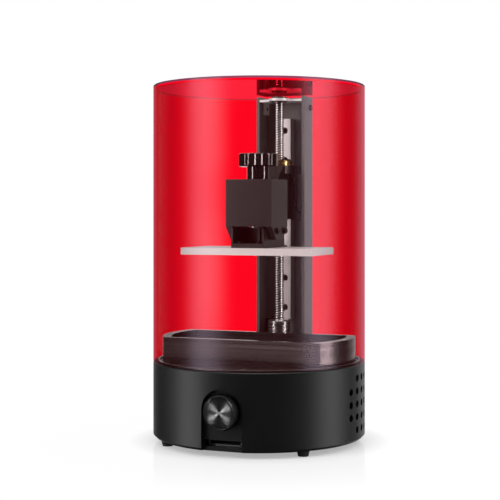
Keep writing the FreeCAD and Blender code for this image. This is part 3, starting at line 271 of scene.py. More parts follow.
def brushed(name, colour, lighter, roughness, lines, metal=1.0):
    """Metal with brush or grinding lines."""
    material, shade = new_finish(name)
    point = rest_point(shade)
    line = between(shade, drawn_grain(shade, point, lines, 4.0, 0.65), 0.28, 0.72)
    cloud = grain(shade, point, 30.0, 2.0)
    return filled(material, shade, {
        "Base Color": tinted(shade, line * 0.8 + cloud * 0.2, colour, lighter),
        "Metallic": metal,
        "Roughness": line * 0.12 + cloud * 0.06 + (roughness - 0.09),
        "Normal": raised(shade, line, 0.00002),
    })


def brushed_vat(name):
    """Dark anodised vat with long fine brush lines that run round it."""
    material, shade = new_finish(name)
    point = rest_point(shade)
    broad = drawn_grain(shade, point, (2, 2, 300), 0.0)
    fine = drawn_grain(shade, point, (3, 3, 760), 0.0)
    line = between(shade, broad * 0.55 + fine * 0.45, 0.30, 0.70)
    return filled(material, shade, {
        "Base Color": tinted(shade, line, (0.036, 0.030, 0.030), (0.13, 0.113, 0.113)),
        "Metallic": 0.85,
        "Roughness": 0.24,
    })


def moulded(name, colour, lighter, roughness, texture=1500.0, depth=0.00002, gloss=0.5):
    """Moulded plastic or rubber with a fine skin texture."""
    material, shade = new_finish(name)
    point = rest_point(shade)
    skin = grain(shade, point, texture, 2.0)
    wear = grain(shade, point, 60.0, 4.0)
    return filled(material, shade, {
        "Base Color": tinted(shade, skin * 0.5 + wear * 0.5, colour, lighter),
        "Roughness": wear * 0.10 + (roughness - 0.05),
        "Specular IOR Level": gloss,
        "Normal": raised(shade, skin, depth),
    })


def spun_face(name):
    """Dark metal disc, with the faint rings of colour that a lathe leaves about the control knob's axis."""
    material, shade = new_finish(name)
    radius = from_axis(shade, rest_point(shade), KNOB_AXIS, (1, 0, 1))
    ring = grain(shade, shade.node("ShaderNodeCombineXYZ", inputs={0: radius * 2200.0}), 1.0, 1.0)
    return filled(material, shade, {
        "Base Color": tinted(shade, ring, grey(0.09), grey(0.17)),
        "Metallic": 1.0,
        "Roughness": ring * 0.06 + 0.26,
    })


def thread_steel(name):
    """Rolled thread of the lead screw: bright crests, and painted shade that darkens its roots."""
    material, shade = new_finish(name)
    point = rest_point(shade)
    radius = from_axis(shade, point, (0, LEAD_Y, 0), (1, 1, 0))
    crest = between(shade, radius, 3.15 * MM, 3.85 * MM)
    bright = crest * 0.85 + grain(shade, point, 300.0) * 0.15
    return filled(material, shade, {
        # The near black in the roots is painted shade in the thread's recesses; the crests keep the bright
        # steel colour.
        "Base Color": tinted(shade, bright, (0.03, 0.025, 0.025), (0.90, 0.88, 0.87)),
        "Metallic": 1.0,
        "Roughness": 0.32 - crest * 0.15,
    })


def circuit_board(name):
    """Green lacquer with copper tracks and tinned pads showing through."""
    material, shade = new_finish(name)
    point = rest_point(shade)
    cells = shade.node("ShaderNodeTexVoronoi", {"feature": "DISTANCE_TO_EDGE", "distance": "CHEBYCHEV"}, {
        "Vector": point, "Scale": 170.0, "Randomness": 0.75,
    })
    dots = shade.node("ShaderNodeTexVoronoi", {"feature": "F1"}, {
        "Vector": point, "Scale": 260.0, "Randomness": 0.2,
    })
    track = between(shade, cells, 0.09, 0.05)
    pad = between(shade, dots, 0.27, 0.24)
    lacquer = tinted(shade, track, (0.012, 0.09, 0.035), (0.03, 0.18, 0.07))
    return filled(material, shade, {
        "Base Color": tinted(shade, pad, lacquer, (0.62, 0.60, 0.55)),
        "Metallic": pad * 0.9,
        "Roughness": 0.42 - pad * 0.12,
        "Normal": raised(shade, track, 0.00004),
    })


def motor_case(name):
    """Dark lacquered stack between two bright end caps."""
    material, shade = new_finish(name)
    point = rest_point(shade)
    height = level_of(shade, point)
    cap, soft = 8.0 * MM, 0.2 * MM
    low_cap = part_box("z_motor")[0].z + cap
    high_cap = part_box("deck_plate")[0].z - cap
    bright = between(shade, height, low_cap + soft, low_cap) + between(shade, height, high_cap, high_cap + soft)
    sheets = drawn_grain(shade, point, (0.5, 0.5, 2600.0), 1.0)
    return filled(material, shade, {
        "Base Color": tinted(shade, bright, grey(0.02), (0.55, 0.55, 0.54)),
        "Metallic": bright * 0.9 + 0.1,
        "Roughness": sheets * 0.15 + 0.35,
        "Normal": raised(shade, sheets, 0.00006),
    })


def screen_finish(name):
    """Dark glossy panel with a fine raster of cells."""
    material, shade = new_finish(name)
    raster = shade.node("ShaderNodeTexBrick", {"offset": 0.0, "squash": 1.0}, {
        "Vector": rest_point(shade), "Scale": 1400.0, "Mortar Size": 0.06,
        "Brick Width": 0.5, "Row Height": 0.5,
    }, output="Fac")
    return filled(material, shade, {
        "Base Color": tinted(shade, raster, (0.012, 0.013, 0.018), (0.03, 0.03, 0.036)),
        "Roughness": raster * 0.08 + 0.12,
    })


def see_through(name, tint):
    """Clear sheet: a tinted way through, and a gloss that grows towards its edges."""
    material, shade = new_finish(name)
    cloud = grain(shade, rest_point(shade), 40.0, 2.0)
    edge = shade.node("ShaderNodeFresnel", inputs={"IOR": 1.45})
    done(shade, mixed(shade, edge, clear(shade, tint), mirror(shade, WHITE, cloud * 0.03 + 0.02)))
    return material


def acrylic(name, tints, gloss, blur, mirror_tint=WHITE, haze=0.0, cast=WHITE, dye=(0.85, 0.02, 0.04)):
    """One skin of the clear red cover. It works on the side that it faces, so the tint of each wall counts
    once. The three tints are for a straight look, a slanted one, and one along the sheet, and so are the three
    shares of gloss. The lamps shine through it, with a faint cast on some skins."""
    material, shade = new_finish(name)
    cloud = grain(shade, rest_point(shade), 18.0, 2.0)
    slant = shade.node("ShaderNodeLayerWeight", inputs={"Blend": 0.5}, output="Facing")
    straight, slanted, along = [clear(shade, tint) for tint in tints]
    through = mixed(shade, between(shade, slant, 0.08, 0.44), straight, slanted)
    through = mixed(shade, between(shade, slant, 0.66, 0.74), through, along)
    through = mixed(shade, haze, through, matt(shade, dye))
    first, middle, last = gloss
    low_shine = between(shade, slant, 0.02, 0.14, first, middle)
    high_shine = between(shade, slant, 0.5, 0.85, 0.0, last - middle)
    polish = mirror(shade, mirror_tint, cloud * 0.04 + (blur - 0.02), "BECKMANN")
    skin = mixed(shade, low_shine + high_shine, through, polish)
    behind = shade.node("ShaderNodeNewGeometry", output="Backfacing")
    front = mixed(shade, behind, skin, clear(shade, WHITE))
    camera = shade.node("ShaderNodeLightPath", output="Is Camera Ray")
    done(shade, mixed(shade, camera, clear(shade, cast), front))
    return material


RED = (1.0, 0.001, 0.015)
DEEP_RED = (0.53, 0.003, 0.017)
PALE_RED = (1.0, 0.90, 0.90)
SMOKED_RED = (0.54, 0.48, 0.49)
SEAM_RED = (0.62, 0.03, 0.05)
# Dark purple tints for the top's rim: painted shade for the dark line at its polished edge
RIM_SHADE_PURPLES = ((0.32, 0.06, 0.13), (0.22, 0.045, 0.09), (0.11, 0.027, 0.048))
COOL_WHITE = (0.95, 0.78, 1.0)
PALE_METAL = (0.72, 0.70, 0.69)

# How fine the lines of a metal are along X, Y and Z
FINE_GRIND = (900, 900, 900)
ROLLED = (120, 900, 900)
TURNED = (40, 40, 3000)
COARSELY_TURNED = (60, 60, 2400)

# Shares of gloss on the cover's skins
WALL_GLOSS = (0.010, 0.0275, 0.17)
RIM_GLOSS = (0.01, 0.02, 0.05)
NO_GLOSS = (0.0, 0.0, 0.0)

FINISHES = {
    "matt black coat": coat("matt_black_coat", grey(0.004), grey(0.008), 0.42, 0.6),
    "deck coat": deck_finish("deck_coat"),
    "floor plate coat": coat("floor_plate_coat", grey(0.016), grey(0.026), 0.55),
    "foot rubber": moulded("foot_rubber", grey(0.012), grey(0.024), 0.75, 900.0, 0.00005),
    "black oxide": brushed("black_oxide", grey(0.03), (0.06, 0.058, 0.056), 0.40, FINE_GRIND),
    "bright screw steel": brushed(
        "bright_screw_steel", (0.50, 0.49, 0.48), (0.68, 0.67, 0.66), 0.28, FINE_GRIND,
    ),
    "sheet steel": brushed("sheet_steel", grey(0.42), grey(0.58), 0.36, ROLLED),
    "dull nickel": brushed("dull_nickel", grey(0.15), grey(0.24), 0.40, ROLLED),
    "circuit board": circuit_board("circuit_board"),
    "black plastic": moulded("black_plastic", grey(0.014), grey(0.026), 0.48),
    "pale plastic": moulded("pale_plastic", (0.42, 0.41, 0.38), (0.52, 0.51, 0.47), 0.45),
    "knob black": moulded("knob_black", grey(0.008), grey(0.016), 0.34, 2200.0, 0.00001),
    "spun face": spun_face("spun_face"),
    "gloss black": moulded(
        "gloss_black", (0.004, 0.003, 0.003), (0.008, 0.006, 0.006), 0.09, 2600.0, 0.000002, 1.0,
    ),
    "screen": screen_finish("screen_cells"),
    "screen glass": see_through("clear_screen_glass", (0.86, 0.90, 0.90)),
    "clear film": see_through("clear_film", grey(0.90)),
    "extruded aluminium": brushed("extruded_aluminium", grey(0.48), grey(0.62), 0.40, (900, 12, 900)),
    "turned brass": brushed(
        "turned_brass", (0.60, 0.36, 0.14), (0.80, 0.54, 0.26), 0.26, COARSELY_TURNED,
    ),
    "motor case": motor_case("motor_case"),
    "ground steel": brushed(
        "ground_steel", (0.70, 0.68, 0.68), (0.86, 0.84, 0.84), 0.34, (2600, 2600, 30),
    ),
    "shielded bearing": brushed(
        "shielded_bearing", (0.10, 0.09, 0.09), (0.16, 0.15, 0.15), 0.48, COARSELY_TURNED,
    ),
    "thread steel": thread_steel("thread_steel"),
    "turned steel": brushed("turned_steel", (0.52, 0.50, 0.49), (0.72, 0.70, 0.69), 0.24, TURNED),
    "turned aluminium": brushed("turned_aluminium", grey(0.52), grey(0.70), 0.26, TURNED),
    "tower anodising": brushed(
        "tower_anodising", (0.13, 0.120, 0.118), (0.19, 0.18, 0.176), 0.46, (700, 700, 18), 0.35,
    ),
    "plain aluminium": brushed(
        "plain_aluminium", PALE_METAL, (0.84, 0.82, 0.81), 0.42, (20, 900, 900), 0.4,
    ),
    "black anodising": brushed(
        "black_anodising", (0.055, 0.046, 0.046), (0.080, 0.068, 0.068), 0.46, (1100, 1100, 1100),
    ),
    "blasted aluminium": brushed(
        "blasted_aluminium", PALE_METAL, (0.82, 0.80, 0.79), 0.5, (1600, 1600, 1600), 0.3,
    ),
    "brushed vat": brushed_vat("brushed_vat"),
    "outer red skin": acrylic(
        "outer_red_skin", (PALE_RED, SMOKED_RED, DEEP_RED), WALL_GLOSS, 0.32, COOL_WHITE, haze=0.012,
    ),
    "inner red skin": acrylic(
        "inner_red_skin", (RED, RED, RED), (0.006, 0.012, 0.05), 0.32, cast=(1.0, 0.95, 0.95),
    ),
    "red underside": acrylic(
        "red_underside", (RED, RED, RED), (0.03, 0.05, 0.95), 0.06, (1.0, 0.02, 0.05),
    ),
    "red top": acrylic("red_top", ((0.97, 0.16, 0.19), RED, RED), (0.03, 0.04, 0.5), 0.08),
    "red edge": acrylic("red_edge", (RED, DEEP_RED, DEEP_RED), (0.01, 0.02, 0.1), 0.2),
    "red disc side": acrylic("red_disc_side", (RED, RED, DEEP_RED), WALL_GLOSS, 0.32, COOL_WHITE),
    # The rim's dark purple is painted shade, not the colour of the acrylic
    "painted shade rim": acrylic("painted_shade_rim", RIM_SHADE_PURPLES, RIM_GLOSS, 0.10),
    "seam": acrylic("cover_seam", (SEAM_RED, SEAM_RED, SEAM_RED), RIM_GLOSS, 0.2),
    "frosted foot": acrylic(
        "frosted_foot", (PALE_RED, PALE_RED, PALE_RED), NO_GLOSS, 0.3, haze=0.95, dye=(0.95, 0.92, 0.92),
    ),
    "bonded joint": acrylic("bonded_joint", (RED, RED, RED), NO_GLOSS, 0.3),
}

NODE_FINISHES = {
    "matt black coat": ["base_housing"],
    "deck coat": ["deck_plate", "film_ring"],
    "floor plate coat": ["bottom_plate"],
    "foot rubber": ["rubber_feet"],
    "sheet steel": ["front_bracket", "fan_bracket", "card_socket"],
    "circuit board": ["control_board", "main_board", "lamp_board"],
    "black plastic": [
        "encoder_body", "power_inlet", "limit_switch", "carriage_caps", "fan_frame", "fan_rotor",
        "light_tunnel",
    ],
    "pale plastic": ["encoder_rotor"],
    "screen": ["screen_panel"],
    "screen glass": ["screen_glass"],
    "clear film": ["vat_film"],
    "extruded aluminium": ["heat_sink"],
    "turned brass": ["board_spacers", "lead_nut"],
    "motor case": ["z_motor"],
    "ground steel": ["linear_rail", "carriage_block"],
    "turned steel": ["encoder_shaft", "motor_shaft", "ball_stud", "ball_retainer"],
    "shielded bearing": ["top_bearing"],
    "tower anodising": ["tower_channel"],
    "plain aluminium": ["top_plate"],
    "black anodising": ["z_arm", "platform_saddle", "joint_block"],
    "blasted aluminium": ["build_plate"],
    "brushed vat": ["vat_body"],
}

SCREW_FINISHES = {
    "black oxide": [
        "deck_screws", "motor_screws", "clamp_screws", "foot_screws", "fan_screws", "top_screws",
        "arm_screws", "plate_screws", "rail_screws",
    ],
    "dull nickel": ["bracket_screws"],
    "bright screw steel": ["tower_screws", "vat_screws"],
}


def new_piece(name, points, faces, finishes, face_finishes=None, sharp=30.0):
    """A mesh in millimetres as a shown piece, smooth but for edges sharper than an angle."""
    mesh = bpy.data.meshes.new(name)
    mesh.from_pydata([Vector(point) * MM for point in points], [], faces)
    for finish in finishes:
        mesh.materials.append(FINISHES[finish])
    if face_finishes:
        mesh.polygons.foreach_set("material_index", face_finishes)
    mesh.polygons.foreach_set("use_smooth", [True] * len(mesh.polygons))
    mesh.set_sharp_from_angle(angle=math.radians(sharp))
    mesh.validate()
    piece = bpy.data.objects.new(name, mesh)
    bpy.context.scene.collection.objects.link(piece)
    return piece


def stands_for(piece, node):
    """Puts a piece in the place of a solid, on the solid's own body."""
    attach(piece, frame["nodes"][node]["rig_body"])
    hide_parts(node)
    return piece


def softened(corners, radius, steps):
    """An open profile whose corners are rounded by a radius, or by less where its sides are short."""
    softer = []
    last = len(corners) - 1
    for index, corner in enumerate(corners):
        here = Vector(corner)
        if index in (0, last):
            softer.append(tuple(here))
            continue
        before = Vector(corners[index - 1]) - here
        after = Vector(corners[index + 1]) - here
        reach = min(radius, before.length * 0.45, after.length * 0.45)
        start = here + before.normalized() * reach
        end = here + after.normalized() * reach
        for step in range(steps + 1):
            part = step / steps
            softer.append(tuple(start * (1 - part) ** 2 + here * 2 * part * (1 - part) + end * part ** 2))
    return softer


def ring_about(points, reaches, axis_y, level):
    """Adds a level ring of points about an upright axis, and gives their numbers."""
    start = len(points)
    for index, reach in enumerate(reaches):
        angle = FULL_TURN * (index / len(reaches))
        points.append((reach * math.cos(angle), axis_y + reach * math.sin(angle), level))
    return list(range(start, len(points)))


def skin_between(low, high):
    """Faces between two rings of equal count. A ring may be the same point over and over."""
    faces = []
    for index in range(len(low)):
        following = (index + 1) % len(low)
        face = [low[index], low[following], high[following], high[index]]
        face = [place for order, place in enumerate(face) if place != face[order - 1]]
        if len(face) > 2:
            faces.append(face)
    return faces


def skin_of(rings):
    """Faces between each ring and the next."""
    return [face for low, high in zip(rings, rings[1:]) for face in skin_between(low, high)]


def lathed(name, profile, finishes, centre=(0, 0, 0), facing="Z", segments=96, profile_finishes=None,
           closed=False):
    """Turns a profile of (radius, height) points about an axis. A closed profile makes a ring, an open one
    starts and ends on the axis."""
    points = []
    rings = []
    for radius, height in profile:
        if radius < 1e-6:
            rings.append([len(points)] * segments)
            points.append((0.0, 0.0, height))
        else:
            rings.append(ring_about(points, [radius] * segments, 0.0, height))
    faces = []
    kinds = []
    followers = [*rings[1:], rings[0]] if closed else rings[1:]
    for span, (low, high) in enumerate(zip(rings, followers)):
        added = skin_between(low, high)
        faces += added
        kinds += [profile_finishes[span] if profile_finishes else 0] * len(added)
    if facing == "-Y":
        points = [(x, -z, y) for x, y, z in points]
    points = [tuple(Vector(point) + Vector(centre)) for point in points]
    return new_piece(name, points, faces, finishes, kinds)


def cover_pieces():
    """Clear red tube and top. The top's rim is tinted dark purple: painted shade for the dark line at its
    polished edge.
    """
    skins = [
        "outer red skin", "inner red skin", "painted shade rim", "red underside", "red top", "red edge",
        "red disc side", "seam", "bonded joint", "frosted foot",
    ]
    outer, inner, rim, under, upper, side, disc_side, seam, joint, foot = range(len(skins))
    edge, dark_edge, seam_width, glue = 0.6, 1.7, 1.0, 0.05
    segments = 256
    bottom, top = levels_of("cover_tube")
    top -= glue
    profile = [
        (COVER_INNER, bottom + edge), (COVER_INNER + edge, bottom), (COVER_RADIUS - edge, bottom),
        (COVER_RADIUS, bottom + edge), (COVER_RADIUS, top), (COVER_INNER, top),
        (COVER_INNER, top - seam_width),
    ]
    kinds = [foot, side, side, outer, joint, seam, inner]
    tube = lathed(
        "cover_tube_clear", profile, skins, segments=segments, profile_finishes=kinds, closed=True,
    )
    stands_for(tube, "cover_tube")
    bottom, top = levels_of("cover_top")
    profile = [
        (0, bottom), (COVER_INNER, bottom), (COVER_RADIUS, bottom), (COVER_RADIUS, top - dark_edge),
        (COVER_RADIUS, top - edge), (COVER_RADIUS - edge, top), (0, top),
    ]
    kinds = [under, joint, disc_side, rim, rim, upper]
    disc = lathed("cover_top_clear", profile, skins, segments=segments, profile_finishes=kinds)
    stands_for(disc, "cover_top")
    return [tube, disc]


def thread_piece():
    """Lead screw with its two-start trapezoidal thread, which lifts 4 mm in a turn."""
    bottom, top = levels_of("lead_screw")
    outer, root, lead, starts = 3.98, 3.05, 4.0, 2
    root_share, flank_share = 0.28, 0.36
    around = 32
    pitch = lead / starts
    rows = int((top - bottom) / (pitch / 10))

    def reach_at(level, turn):
        phase = ((level - lead * turn) / pitch) % 1.0
        wave = abs(phase - 0.5) * 2
        return root + (outer - root) * min(max((wave - root_share) / flank_share, 0.0), 1.0)

    points = []
    rings = []
    for row in range(rows + 1):
        level = bottom + (top - bottom) * row / rows
        reaches = [reach_at(level, index / around) for index in range(around)]
        rings.append(ring_about(points, reaches, LEAD_Y, level))
    faces = [*skin_of(rings), rings[0][::-1], rings[-1]]
    piece = new_piece("lead_screw_thread", points, faces, ["thread steel"], sharp=50.0)
    return stands_for(piece, "lead_screw")


def coupler_piece():
    """Shaft coupler with the helical slit that lets it flex."""
    bottom, top = levels_of("shaft_coupler")
    radius, bore, chamfer = 9.0, 4.08, 0.8
    slit_depth, slit_lead, slit_from, slit_to, half_slit = 1.6, 2.6, 9.0, 16.0, 0.16
    around = 64
    step, margin = 0.2, 1.0
    rows = int((slit_to - slit_from + 2 * margin) / step) + 1

    def reach_at(level, turn):
        height = level - bottom
        if level in (bottom, top):
            return radius - chamfer
        phase = ((height - slit_lead * turn) / slit_lead) % 1.0
        if slit_from <= height <= slit_to and abs(phase - 0.5) < half_slit:
            return radius - slit_depth
        return radius

    levels = [bottom, bottom + chamfer]
    levels += [bottom + slit_from - margin + step * row for row in range(rows)]
    levels += [top - chamfer, top]
    points = []
    rings = []
    for level in levels:
        reaches = [reach_at(level, index / around) for index in range(around)]
        rings.append(ring_about(points, reaches, LEAD_Y, level))
    low_bore, high_bore = [ring_about(points, [bore] * around, LEAD_Y, level) for level in (bottom, top)]
    faces = skin_of([low_bore, *rings, high_bore, low_bore])
    stands_for(new_piece("shaft_coupler_slit", points, faces, ["turned aluminium"]), "shaft_coupler")


def control_knob_pieces():
    """Control knob with a soft rim, and the spun disc in its front."""
    low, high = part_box("control_knob")
    length = (high.y - low.y) / MM
    place = (KNOB_AXIS.x, high.y / MM, KNOB_AXIS.z)
    radius, bore, bore_end, recess_radius = 13.0, 2.88, 6.0, 12.0
    recess = length - 1.0
    profile = softened([
        (bore, 0), (radius, 0), (radius, length), (recess_radius, length), (recess_radius, recess),
    ], 0.7, 4)
    profile = [(0, bore_end), (bore, bore_end), *profile, (0, recess)]
    stands_for(lathed("control_knob_turned", profile, ["knob black"], place, "-Y"), "control_knob")
    face_radius, face_back, face_front = 11.92, length - 0.98, length - 0.16
    groove_pitch, groove_depth, groove_end = 0.32, 0.038, 11.0
    dish = [
        (0, face_back), (face_radius, face_back), (face_radius, length - 0.25),
        (face_radius - 0.35, length - 0.02), (face_radius - 0.8, length - 0.10),
    ]
    steps = int(groove_end / groove_pitch * 4)
    for step in range(steps):
        reach = groove_end * (1 - step / steps)
        dish.append((reach, face_front + groove_depth * math.sin(FULL_TURN * reach / groove_pitch)))
    dish.append((0, face_front))
    face = lathed("knob_face_spun", dish, ["spun face"], place, "-Y", 128)
    return stands_for(face, "knob_face")


def platform_knob_piece():
    """Fluted clamp knob with soft edges on its lobes, its neck and its stem."""
    bottom, top = levels_of("platform_knob")
    head_bottom = top - 10.5
    neck_bottom = head_bottom - 10.2
    stem, neck, neck_edge = 2.98, 9.0, 0.2
    radius, flute, circle, flutes = 16.0, 4.5, 18.6, 8
    soft, dish, dish_edge, dish_depth = 1.1, 11.0, 10.4, 0.3
    around = flutes * 24
    half_lobe = FULL_TURN / flutes / 2

    def lobe(turn):
        angle = ((turn * flutes + 0.5) % 1.0 - 0.5) * FULL_TURN / flutes
        from_flute = angle + half_lobe if angle < 0 else angle - half_lobe
        across, along = circle * math.sin(from_flute), circle * math.cos(from_flute)
        if abs(across) >= flute:
            return radius
        return min(radius, along - math.sqrt(flute ** 2 - across ** 2))

    lobes = [lobe(index / around) for index in range(around)]
    quarter = [step / 4 * math.pi / 2 for step in range(5)]
    plain = [0] * around
    levels = [
        (plain, stem, bottom), (plain, stem, neck_bottom), (plain, neck - neck_edge, neck_bottom),
        (plain, neck, neck_bottom + neck_edge), (plain, neck, head_bottom),
    ]
    for angle in quarter:
        levels.append((lobes, -soft * (1 - math.sin(angle)), head_bottom + soft * (1 - math.cos(angle))))
    for angle in quarter:
        levels.append((lobes, -soft * (1 - math.cos(angle)), top - soft * (1 - math.sin(angle))))
    levels += [(plain, dish, top), (plain, dish_edge, top - dish_depth)]
    points = [(0, PIVOT_Y, bottom)]
    rings = [[0] * around]
    for outline, more, level in levels:
        rings.append(ring_about(points, [reach + more for reach in outline], PIVOT_Y, level))
    rings.append([len(points)] * around)
    points.append((0, PIVOT_Y, top - dish_depth))
    piece = new_piece("platform_knob_fluted", points, skin_of(rings), ["gloss black"], sharp=40.0)
    stands_for(piece, "platform_knob")


def islands(mesh):
    """The separate solids of a mesh, as lists of vertex places in millimetres."""
    parent = list(range(len(mesh.vertices)))

    def top_of(index):
        while parent[index] != index:
            parent[index] = parent[parent[index]]
            index = parent[index]
        return index

    seen = {}
    for vertex in mesh.vertices:
        key = tuple(round(value, 6) for value in vertex.co)
        if key in seen:
            parent[top_of(vertex.index)] = top_of(seen[key])
        seen[key] = vertex.index
    for edge in mesh.edges:
        parent[top_of(edge.vertices[0])] = top_of(edge.vertices[1])
    groups = {}
    for vertex in mesh.vertices:
        groups.setdefault(top_of(vertex.index), []).append(vertex.co / MM)
    return list(groups.values())


def socket_screw(solid):
    """A socket-head screw in the place of a plain one: its points and faces."""
    low = Vector([min(point[axis] for point in solid) for axis in range(3)])
    high = Vector([max(point[axis] for point in solid) for axis in range(3)])
    extent = high - low
    centre = (low + high) / 2
    # The screw lies along the axis whose two other sides are equal
    along = min((abs(extent[axis - 1] - extent[axis - 2]), axis) for axis in range(3))[1]
    head_radius = extent[along - 1] / 2

    def reach(point):
        return math.hypot(point[along - 1] - centre[along - 1], point[along - 2] - centre[along - 2])

    wide = [point[along] for point in solid if reach(point) > head_radius * 0.98]
    shank_radius = max(reach(point) for point in solid if reach(point) < head_radius * 0.9)
    head_low, head_high = min(wide), max(wide)
    up = 1 if (head_low + head_high) / 2 > centre[along] else -1
    head_top, seat = (head_high, head_low) if up > 0 else (head_low, head_high)
    tip = low[along] if up > 0 else high[along]
    around = 24
    hexagon = head_radius * 0.52
    sunk = abs(head_top - seat) * 0.6
    tip_edge, seat_edge, seat_rise, head_edge, hex_edge = 0.3, 0.1, 0.15, 0.35, 0.15

    def hexed(turn):
        angle = (turn * 6 % 1.0 - 0.5) * FULL_TURN / 6
        return hexagon * math.cos(math.pi / 6) / math.cos(angle)

    heights = [
        (0, tip, False), (shank_radius - tip_edge, tip, False), (shank_radius, tip + up * tip_edge, False),
        (shank_radius, seat, False), (head_radius - seat_edge, seat, False),
        (head_radius, seat + up * seat_rise, False), (head_radius, head_top - up * head_edge, False),
        (head_radius - head_edge, head_top, False), (1.0, head_top, True),
        (0.9, head_top - up * hex_edge, True), (0.9, head_top - up * sunk, True),
        (0, head_top - up * sunk * 1.1, False),
    ]
    points = []
    rings = []
    for radius, level, six_sided in heights:
        ring = []
        for index in range(around if radius else 1):
            turn = index / around
            here = radius * hexed(turn) if six_sided else radius
            point = [0.0, 0.0, 0.0]
            point[along] = level
            point[along - 2] = centre[along - 2] + here * math.cos(FULL_TURN * turn)
            point[along - 1] = centre[along - 1] + up * here * math.sin(FULL_TURN * turn)
            ring.append(len(points))
            points.append(tuple(point))
        rings.append(ring if radius else ring * around)
    return points, skin_of(rings)


def screw_pieces():
    """Socket-head screws, as one piece for each group of equal ones."""
    for finish, screws in SCREW_FINISHES.items():
        for name in screws:
            points = []
            faces = []
            for solid in islands(frame["nodes"][name].data):
                own_points, own_faces = socket_screw(solid)
                start = len(points)
                points += own_points
                faces += [[start + place for place in face] for face in own_faces]
            stands_for(new_piece(name + "_socketed", points, faces, [finish]), name)


def finish_solids():
    """Gives every solid that shows its own finish."""
    for finish, names in NODE_FINISHES.items():
        for name in names:
            for slot in frame["nodes"][name].material_slots:
                slot.material = FINISHES[finish]


def set_world():
    """White for the camera and through clear pieces. Mirrors show that white behind the printer, and a dim
    room elsewhere."""
    world = bpy.data.worlds.new("studio")
    bpy.context.scene.world = world
    world.use_nodes = True
    world.node_tree.nodes.clear()
    shade = Shade(world.node_tree)
    camera, mirrored, through = [
        shade.node("ShaderNodeLightPath", output=kind)
        for kind in ("Is Camera Ray", "Is Glossy Ray", "Is Transmission Ray")
    ]
    view = shade.node("ShaderNodeTexCoord", output="Generated")
    towards = shade.node("ShaderNodeVectorMath", {"operation": "DOT_PRODUCT"}, {
        0: view, 1: BACKDROP_WAY,
    }, "Value")
    seen_in_mirror = between(shade, towards, 0.70, 0.97, 0.03, 1.0)
    seen = shade.maths("MAXIMUM", camera, through)
    strength = shade.maths("MAXIMUM", seen, mirrored * seen_in_mirror + (1 - mirrored) * ROOM_LIGHT)
    light = shade.node("ShaderNodeBackground", inputs={"Color": (*WHITE, 1.0), "Strength": strength})
    shade.node("ShaderNodeOutputWorld", inputs={"Surface": light})


def floor_piece():
    """Pale polished floor that keeps a soft shadow and a faint mirror image."""
    material, shade = new_finish("pale_floor")
    point = rest_point(shade)
    cloud = grain(shade, point, 3.0, 2.0)
    camera = shade.node("ShaderNodeLightPath", output="Is Camera Ray")
    away = length_of(shade, point)
    lift, white = [
        shade.node("ShaderNodeEmission", inputs={"Color": (*WHITE, 1.0), "Strength": strength})
        for strength in (camera * 0.42, 1.0)
    ]
    lit = shade.node("ShaderNodeAddShader", inputs={0: matt(shade, grey(0.55)), 1: lift})
    pale = mixed(shade, between(shade, away, 0.078, 0.105) * camera, lit, white)
    polish = between(shade, away, 0.085, 0.19, 0.13, 0.0)
    done(shade, mixed(shade, polish, pale, mirror(shade, WHITE, cloud * 0.02 + 0.12)))
    mesh = bpy.data.meshes.new("floor")
    reach = 30.0
    corners = [(-reach, -reach, 0), (reach, -reach, 0), (reach, reach, 0), (-reach, reach, 0)]
    mesh.from_pydata(corners, [], [(0, 1, 2, 3)])
    mesh.materials.append(material)
    floor = bpy.data.objects.new("floor", mesh)
    floor.visible_glossy = False
    floor.visible_shadow = False
    bpy.context.scene.collection.objects.link(floor)


def soft_box(name, azimuth, distance, height, width, tall, power, aim=0.15, mirrored=True):
    """A soft light at an azimuth from the front, in degrees, turned to a height on the printer's axis."""
    data = bpy.data.lights.new(name, "AREA")
    data.shape = "RECTANGLE"
    data.size = width
    data.size_y = tall
    data.energy = power
    lamp = bpy.data.objects.new(name, data)
    angle = math.radians(azimuth)
    lamp.location = (distance * math.sin(angle), -distance * math.cos(angle), height)
    lamp.rotation_euler = (Vector((0, 0, aim)) - lamp.location).to_track_quat("-Z", "Y").to_euler()
    lamp.visible_camera = False
    lamp.visible_glossy = mirrored
    bpy.context.scene.collection.objects.link(lamp)
    return lamp


def lights(lamp, pieces, state):
    """Turns a lamp only to some pieces, with the state INCLUDE, or away from them, with EXCLUDE."""
    group = bpy.data.collections.new(lamp.name + "_pieces")
    for piece in pieces:
        group.objects.link(piece)
    for entry in group.collection_objects:
        entry.light_linking.link_state = state
    lamp.light_linking.receiver_collection = group


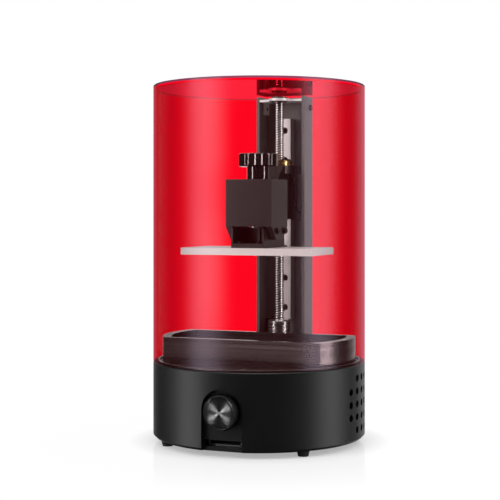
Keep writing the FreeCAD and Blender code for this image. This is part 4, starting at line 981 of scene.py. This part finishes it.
def set_lamps(cover, thread, knob_face):
    """Tall boxes in pairs, for the cover, for the base with the thread, and for the rest. A top light, two
    strips and an end box for the vat, two fills, and two strips for the knob's disc."""
    base, vat, tower = [frame["nodes"][name] for name in ("base_housing", "vat_body", "tower_channel")]
    for name, azimuth in (("cover_left_box", -33.0), ("cover_right_box", 84.0)):
        box = soft_box(name, azimuth, distance=0.65, height=0.25, width=0.42, tall=1.3, power=5.7)
        lights(box, cover, "INCLUDE")
    for name, azimuth in (("base_left_box", -54.0), ("base_right_box", 99.0)):
        box = soft_box(name, azimuth, distance=0.65, height=0.25, width=0.34, tall=1.3, power=2.8)
        lights(box, [base, thread], "INCLUDE")
    for name, azimuth in (("left_box", -40.5), ("right_box", 88.0)):
        box = soft_box(name, azimuth, distance=0.65, height=0.42, width=0.10, tall=0.84, power=2.4)
        lights(box, [*cover, base, knob_face], "EXCLUDE")
    box = soft_box("top_box", 10.0, distance=0.3, height=1.3, width=0.9, tall=0.9, power=4.0)
    lights(box, [knob_face], "EXCLUDE")
    for name, azimuth, width, power in (
        ("vat_left_strip", -23.6, 0.12, 0.22),
        ("vat_right_strip", -11.4, 0.12, 0.26),
        ("vat_end_box", 104.0, 0.2, 3.0),
    ):
        box = soft_box(name, azimuth, distance=0.70, height=0.15, width=width, tall=0.8, power=power)
        lights(box, [vat], "INCLUDE")
    for name, azimuth, distance, height, size, power, unlit in (
        ("front_fill", -38.0, 1.6, 0.5, 1.0, 11.0, [*cover, vat, tower]),
        ("right_fill", 80.0, 1.3, 0.4, 0.8, 4.5, [*cover, vat]),
    ):
        lights(soft_box(name, azimuth, distance, height, size, size, power, mirrored=False), unlit, "EXCLUDE")
    for name, azimuth, distance, height, tall, power in (
        ("knob_right_strip", 19.0, 0.653, 0.235, 0.31, 1.9),
        ("knob_left_strip", -59.2, 0.625, 0.165, 0.235, 1.4),
    ):
        strip = soft_box(name, azimuth, distance, height, width=0.12, tall=tall, power=power, aim=0.034)
        lights(strip, [knob_face], "INCLUDE")


def set_camera():
    """Level camera to the right of the front, a little above the middle of the printer."""
    azimuth, distance, height = math.radians(21.5), 1.015, 0.1852
    picture_widths = 1258.0 / 500.0
    data = bpy.data.cameras.new("photo_camera")
    data.sensor_width = 36.0
    data.lens = picture_widths * data.sensor_width
    data.shift_x = -0.0182
    data.shift_y = -0.081
    camera = bpy.data.objects.new("photo_camera", data)
    camera.location = (distance * math.sin(azimuth), -distance * math.cos(azimuth), height)
    camera.rotation_euler = (math.radians(90), 0, azimuth)
    bpy.context.scene.collection.objects.link(camera)
    bpy.context.scene.camera = camera


bpy.context.scene.view_settings.view_transform = "Standard"
finish_solids()
clear_cover = cover_pieces()
thread = thread_piece()
coupler_piece()
disc_face = control_knob_pieces()
platform_knob_piece()
screw_pieces()
set_world()
floor_piece()
set_lamps(clear_cover, thread, disc_face)
set_camera()
